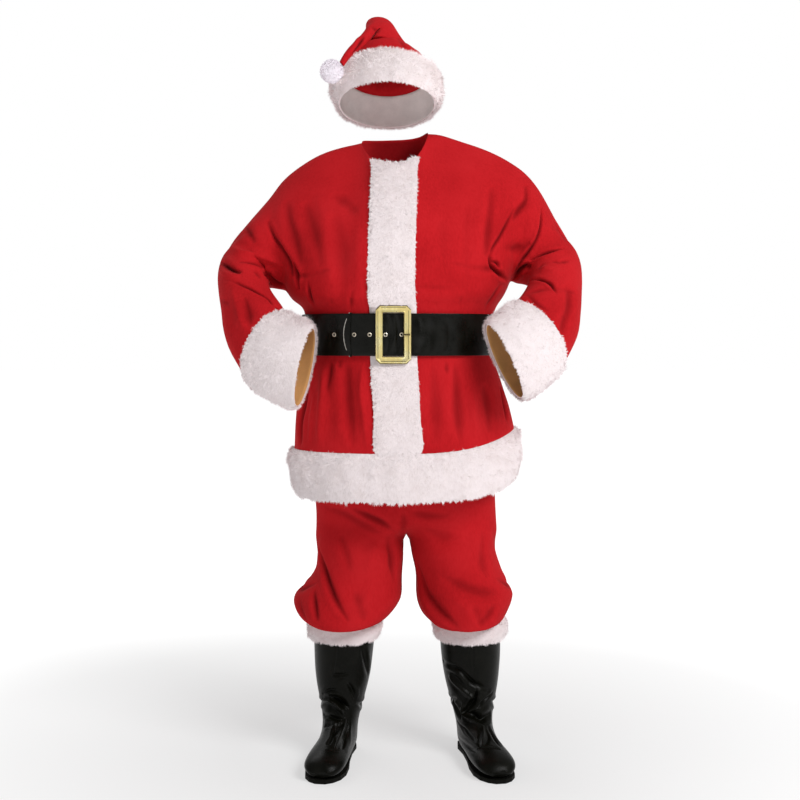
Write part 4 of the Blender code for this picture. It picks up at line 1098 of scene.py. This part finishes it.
buckleBrass = brassFinish("buckle_brass", brass["buckle"], (1, 1, 0.08))
darkBrass = brassFinish("dark_brass", brass["edge"])
eyeletBrass = brassFinish("eyelet_brass", brass["eyelet"])
buckle = {"corner": 0.0098, "depth": 0.0040, "gap": 0.0003, "edge": 0.0004,
          "steps": [(0.0020, 0.0014), (0.0030, 0.0), (0.0012, -0.0011), (0.0072, 0.0), (0.0016, 0.0010)]}


def isPaintedShade(face, middle, width, height):
    # the outer rim's faces that turn up or down, and the groove inside it, get the dark brass as painted
    # shade
    aside = abs(face.center.x - middle.x) - width / 2
    above = abs(face.center.z - middle.z) - height / 2
    rim = abs(face.normal.z) > 0.4 and above > -0.002
    groove = abs(face.normal.y) < 0.9 and -0.0075 < max(aside, above) < -0.003
    return rim or groove


def makeBuckle():
    low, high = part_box("buckle_frame")
    width, height, middle = high.x - low.x, high.z - low.z, (low + high) / 2
    place = (middle.x, high.y - buckle["depth"], middle.z)
    deselectAll()
    bpy.ops.mesh.primitive_plane_add(size=1, location=place, rotation=(math.pi / 2, 0, 0))
    frameRing = bpy.context.active_object
    frameRing.name = "buckle_frame_brass"
    frameRing.scale = (width, height, 1)
    bpy.ops.object.transform_apply(location=True, rotation=True, scale=True)
    bpy.ops.object.mode_set(mode="EDIT")
    bpy.ops.mesh.select_all(action="SELECT")
    bpy.ops.mesh.bevel(affect="VERTICES", offset=buckle["corner"], segments=1)
    bpy.ops.mesh.select_all(action="SELECT")
    for across, up in buckle["steps"]:
        bpy.ops.mesh.inset(thickness=across, depth=up)
    bpy.ops.mesh.delete(type="FACE")
    bpy.ops.mesh.select_all(action="DESELECT")
    bpy.ops.object.mode_set(mode="OBJECT")
    for material in (buckleBrass, darkBrass):
        frameRing.data.materials.append(material)
    for face in frameRing.data.polygons:
        face.material_index = int(isPaintedShade(face, middle, width, height))
    addWall(frameRing, buckle["depth"] - buckle["gap"])
    addBevel(frameRing, buckle["edge"], 0.3)
    applyAll(frameRing)
    frameRing.data.shade_smooth()
    frameRing.data.set_sharp_from_angle(angle=math.radians(25))
    settle(frameRing, "buckle_frame")


makeBuckle()
paint("buckle_prong", darkBrass)
for number in range(1, 6):
    paint(f"eyelet_{number}", eyeletBrass)

# worn is the width of the pale, glossier strip along the keeper's outer end
keeper = {"edge": 0.0005, "bow": 0.0140, "worn": 0.0020, "slices": 16,
          "pale": (shade(0.30, 0.29, 0.26), shade(0.46, 0.44, 0.40))}


def paleEdgeFinish():
    worn = Finish("keeper_edge", Roughness=0.5, Specular_IOR_Level=0.3)
    return worn.feed(Base_Color=worn.mix(worn.between(worn.grain(180.0), 0.35, 0.65), *keeper["pale"]))


def makeKeeper():
    # the loop round both turns of the belt: its outer end is cut in a bow, and a strip along that end is
    # pale
    low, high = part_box("belt_keeper")
    middle, paleTo = (low + high) / 2, low.x + keeper["worn"]
    shape = shapeOf(frame["nodes"]["belt_keeper"].data)
    bmesh.ops.remove_doubles(shape, verts=shape.verts, dist=0.00001)
    bmesh.ops.dissolve_limit(shape, angle_limit=0.02, verts=shape.verts, edges=shape.edges)
    slices = keeper["slices"]
    cuts = [((0, 0, low.z + (high.z - low.z) * step / slices), (0, 0, 1)) for step in range(1, slices)]
    for place, way in cuts + [((paleTo, 0, 0), (1, 0, 0))]:
        whole = shape.verts[:] + shape.edges[:] + shape.faces[:]
        bmesh.ops.bisect_plane(shape, geom=whole, plane_co=place, plane_no=way)
    worn = [face.calc_center_median().x < paleTo for face in shape.faces]
    for vert in shape.verts:
        share = min((high.x - vert.co.x) / (high.x - paleTo) + 0.0001, 1.0)
        vert.co.x += keeper["bow"] * share * ((vert.co.z - middle.z) / (high.z - middle.z)) ** 2
    mesh = meshOf(shape, "keeper")
    piece = pieceOf("belt_keeper_leather", mesh)
    mesh.materials.clear()
    for material in (beltLeather, paleEdgeFinish()):
        mesh.materials.append(material)
    mesh.polygons.foreach_set("material_index", worn)
    mesh.shade_smooth()
    addBevel(piece, keeper["edge"], 0.6)
    applyAll(piece)
    piece.data.set_sharp_from_angle(angle=math.radians(40))
    settle(piece, "belt_keeper")


makeKeeper()
print("belt made")


# boots: vinyl shafts and feet on plain soles
bootVinyl = leatherFinish("boot_vinyl", 0.26, 26.0, 0.0016)
bootRubber = leatherFinish("boot_rubber", 0.62, 90.0, 0.0004)
boots = {
    "cuts": {"shaft": ((0.50, 0.30), 0.102), "foot": ((0.36, 0.32), 0.075)},  # flat size and its area
    "kind": "vinyl", "wall": 0.0018, "levels": 2, "finish": bootVinyl, "slot": "black_vinyl",
    "held": "draped", "edges": (0.0033, 3.2), "finer": [(3.4, 0.02), (2.0, 0.011)], "ease": 0.024,
    "seamDepth": 0.0002, "seamWidth": 0.003, "slack": 0.0016, "seeds": {"right": 2.0, "left": 6.5},
}
bootCreases = {
    "right": {
        "front": [
            (1.8, 2.2, 0.0, [(-143, -1226), (-148, -1270), (-153, -1306)]),
            (5.3, 3, 0.6, [(-155, -1308), (-133, -1307), (-111, -1303)]),
            (12, 6, 0.3, [(-163, -1358), (-136, -1376), (-112, -1394)]),
            (-9, 4.5, 0.0, [(-185, -1380), (-160, -1375), (-140, -1386), (-126, -1411)]),
            (9, 5, 0.0, [(-180, -1415), (-151, -1415), (-126, -1420)]),
            (-7.5, 4, 0.0, [(-121, -1417), (-129, -1437), (-143, -1459)]),
            (7.5, 4, 0.0, [(-141, -1419), (-149, -1442), (-160, -1454)]),
            (6, 6, 0.0, [(-112, -1428), (-118, -1453), (-127, -1464)]),
            (6, 4, 0.3, [(-182, -1363), (-163, -1348), (-141, -1348)]),
            (6, 5, 0.0, [(-118, -1328), (-104, -1348), (-97, -1376)]),
            (-5.1, 2.6, 0.0, [(-164, -1457), (-133, -1465)]),
            (4.5, 7, 0.0, [(-84, -1237), (-74, -1276), (-68, -1322)]),
            (4.5, 6, 0.0, [(-176, -1440), (-155, -1424)]),
        ],
        "back": [
            (9.8, 6, 0.3, [(-180, -1352), (-140, -1368), (-96, -1356)]),
            (8.4, 5, 0.0, [(-176, -1396), (-140, -1410), (-100, -1400)]),
            (1.2, 2.2, 0.0, [(-138, -1230), (-140, -1330), (-140, -1430), (-138, -1490)]),
        ],
        "right": [
            (7, 5, 0.0, [(-50, -1380), (-10, -1392), (30, -1378)]),
        ],
        "left": [
            (7, 5, 0.0, [(-50, -1386), (-10, -1398), (30, -1384)]),
        ],
    },
    "left": {
        "front": [
            (1.8, 2.2, 0.0, [(192, -1226), (192, -1269), (195, -1309)]),
            (12, 6, 0.4, [(120, -1284), (156, -1294), (190, -1325), (236, -1352)]),
            (-9.7, 7, 0.0, [(135, -1315), (156, -1334), (175, -1349), (196, -1369)]),
            (10.5, 4.5, 0.3, [(203, -1341), (198, -1369), (183, -1390), (169, -1408)]),
            (-9, 4, 0.0, [(169, -1379), (169, -1407), (188, -1418), (219, -1434)]),
            (10.5, 7, 0.0, [(186, -1402), (213, -1417), (239, -1410)]),
            (6, 3, 0.4, [(244, -1358), (221, -1373), (200, -1393)]),
            (6, 4, 0.0, [(156, -1438), (176, -1448), (195, -1455)]),
            (-6, 4, 0.0, [(216, -1431), (216, -1444), (209, -1460)]),
            (6, 5, 0.0, [(159, -1483), (176, -1473), (197, -1467)]),
            (-5.1, 2.6, 0.0, [(197, -1464), (223, -1456), (255, -1461)]),
            (6, 6, 0.0, [(140, -1374), (153, -1402), (165, -1425)]),
            (6, 5, 0.0, [(230, -1433), (243, -1451), (255, -1460)]),
        ],
        "back": [
            (9.8, 6, 0.3, [(150, -1346), (190, -1362), (232, -1350)]),
            (8.4, 5, 0.0, [(154, -1392), (190, -1406), (230, -1396)]),
            (1.2, 2.2, 0.0, [(192, -1230), (194, -1330), (196, -1430), (196, -1490)]),
        ],
        "right": [
            (7, 5, 0.0, [(-50, -1372), (-10, -1386), (30, -1374)]),
        ],
        "left": [
            (7, 5, 0.0, [(-50, -1380), (-10, -1392), (30, -1378)]),
        ],
    },
}

for side, seed in boots["seeds"].items():
    pieces = {f"boot_{side}_{part}": cut for part, cut in boots["cuts"].items()}
    makeGarment({**boots, "pieces": pieces, "seed": seed}, bootCreases[side])
    paint(f"boot_{side}_sole", bootRubber)
print("boots made")


# floor, light and camera
studio = {
    "camera": (0.0125, -3.3, -0.48), "tilt": 87.37, "lens": 59.4, "floorHeight": -1.5204,
    # the floor glows as painted light: dimmer near the suit, as painted shade round it, and up to white far
    # off
    "paper": shade(0.36, 0.36, 0.36), "glow": (0.52, 0.69, 1.0), "near": 0.40, "far": 2.0,
    "daylight": {"From Min": -0.9, "From Max": 0.1, "To Min": 0.12, "To Max": 0.42},
    "lights": [  # name, place, aim, size, power
        ("key", (2.5, -2.9, 2.1), (0, 0, -0.5), 2.0, 168),
        ("fill", (-2.4, -3.0, 0.6), (0, 0, -0.7), 2.4, 8),
        ("rim", (-1.6, 2.4, 1.6), (0, 0, -0.5), 1.8, 20)],
}


def makeFloor():
    back = 10
    bpy.ops.mesh.primitive_plane_add(size=60, location=(0, back, studio["floorHeight"]))
    floor = bpy.context.active_object
    floor.name = "floor"
    paper = Finish("pale_paper", Base_Color=studio["paper"], Roughness=0.95, Specular_IOR_Level=0.0,
                   Emission_Strength=1.0)
    # painted light: the floor's glow grows with distance from the suit, so it is greyer near the suit as
    # painted shade
    spot = paper.node("ShaderNodeTexCoord", out="Object")
    away = paper.node("ShaderNodeVectorMath", {"operation": "DISTANCE"},
                      {0: spot, 1: (0, -back, 0)}, out="Value")
    levels = [shade(level, level, level) for level in studio["glow"]]
    glow = paper.evenRamp(paper.between(away, studio["near"], studio["far"]), levels)
    floor.data.materials.append(paper.feed(Emission_Color=glow))


def makeSky():
    # the camera sees white; what the sky lights is darker from the front
    sky = bpy.data.worlds.new("studio")
    sky.use_nodes = True
    nodes, links = sky.node_tree.nodes, sky.node_tree.links
    back = nodes["Background"]
    back.inputs["Color"].default_value = shade(1, 1, 1)
    seen, way = nodes.new("ShaderNodeLightPath"), nodes.new("ShaderNodeTexCoord")
    parts = nodes.new("ShaderNodeSeparateXYZ")
    level, strength = nodes.new("ShaderNodeMapRange"), nodes.new("ShaderNodeMath")
    for socket, value in studio["daylight"].items():
        level.inputs[socket].default_value = value
    strength.operation = "MAXIMUM"
    links.new(way.outputs["Generated"], parts.inputs[0])
    links.new(parts.outputs["Y"], level.inputs["Value"])
    links.new(level.outputs["Result"], strength.inputs[0])
    links.new(seen.outputs["Is Camera Ray"], strength.inputs[1])
    links.new(strength.outputs[0], back.inputs["Strength"])
    scene.world = sky


def makeLights():
    for name, place, aim, size, power in studio["lights"]:
        light = bpy.data.lights.new(name, "AREA")
        light.size, light.energy = size, power
        lamp = bpy.data.objects.new(name, light)
        lamp.location = place
        lamp.rotation_euler = (Vector(aim) - Vector(place)).to_track_quat("-Z", "Y").to_euler()
        scene.collection.objects.link(lamp)


def makeCamera():
    view = bpy.data.cameras.new("camera")
    view.lens, view.sensor_width, view.clip_end = studio["lens"], 36, 80
    camera = bpy.data.objects.new("camera", view)
    camera.location = studio["camera"]
    camera.rotation_euler = (math.radians(studio["tilt"]), 0, 0)
    scene.collection.objects.link(camera)
    scene.camera = camera
    scene.view_settings.view_transform = "Standard"


deselectAll()
makeFloor()
makeSky()
makeLights()
makeCamera()
print("stage, light and camera made")
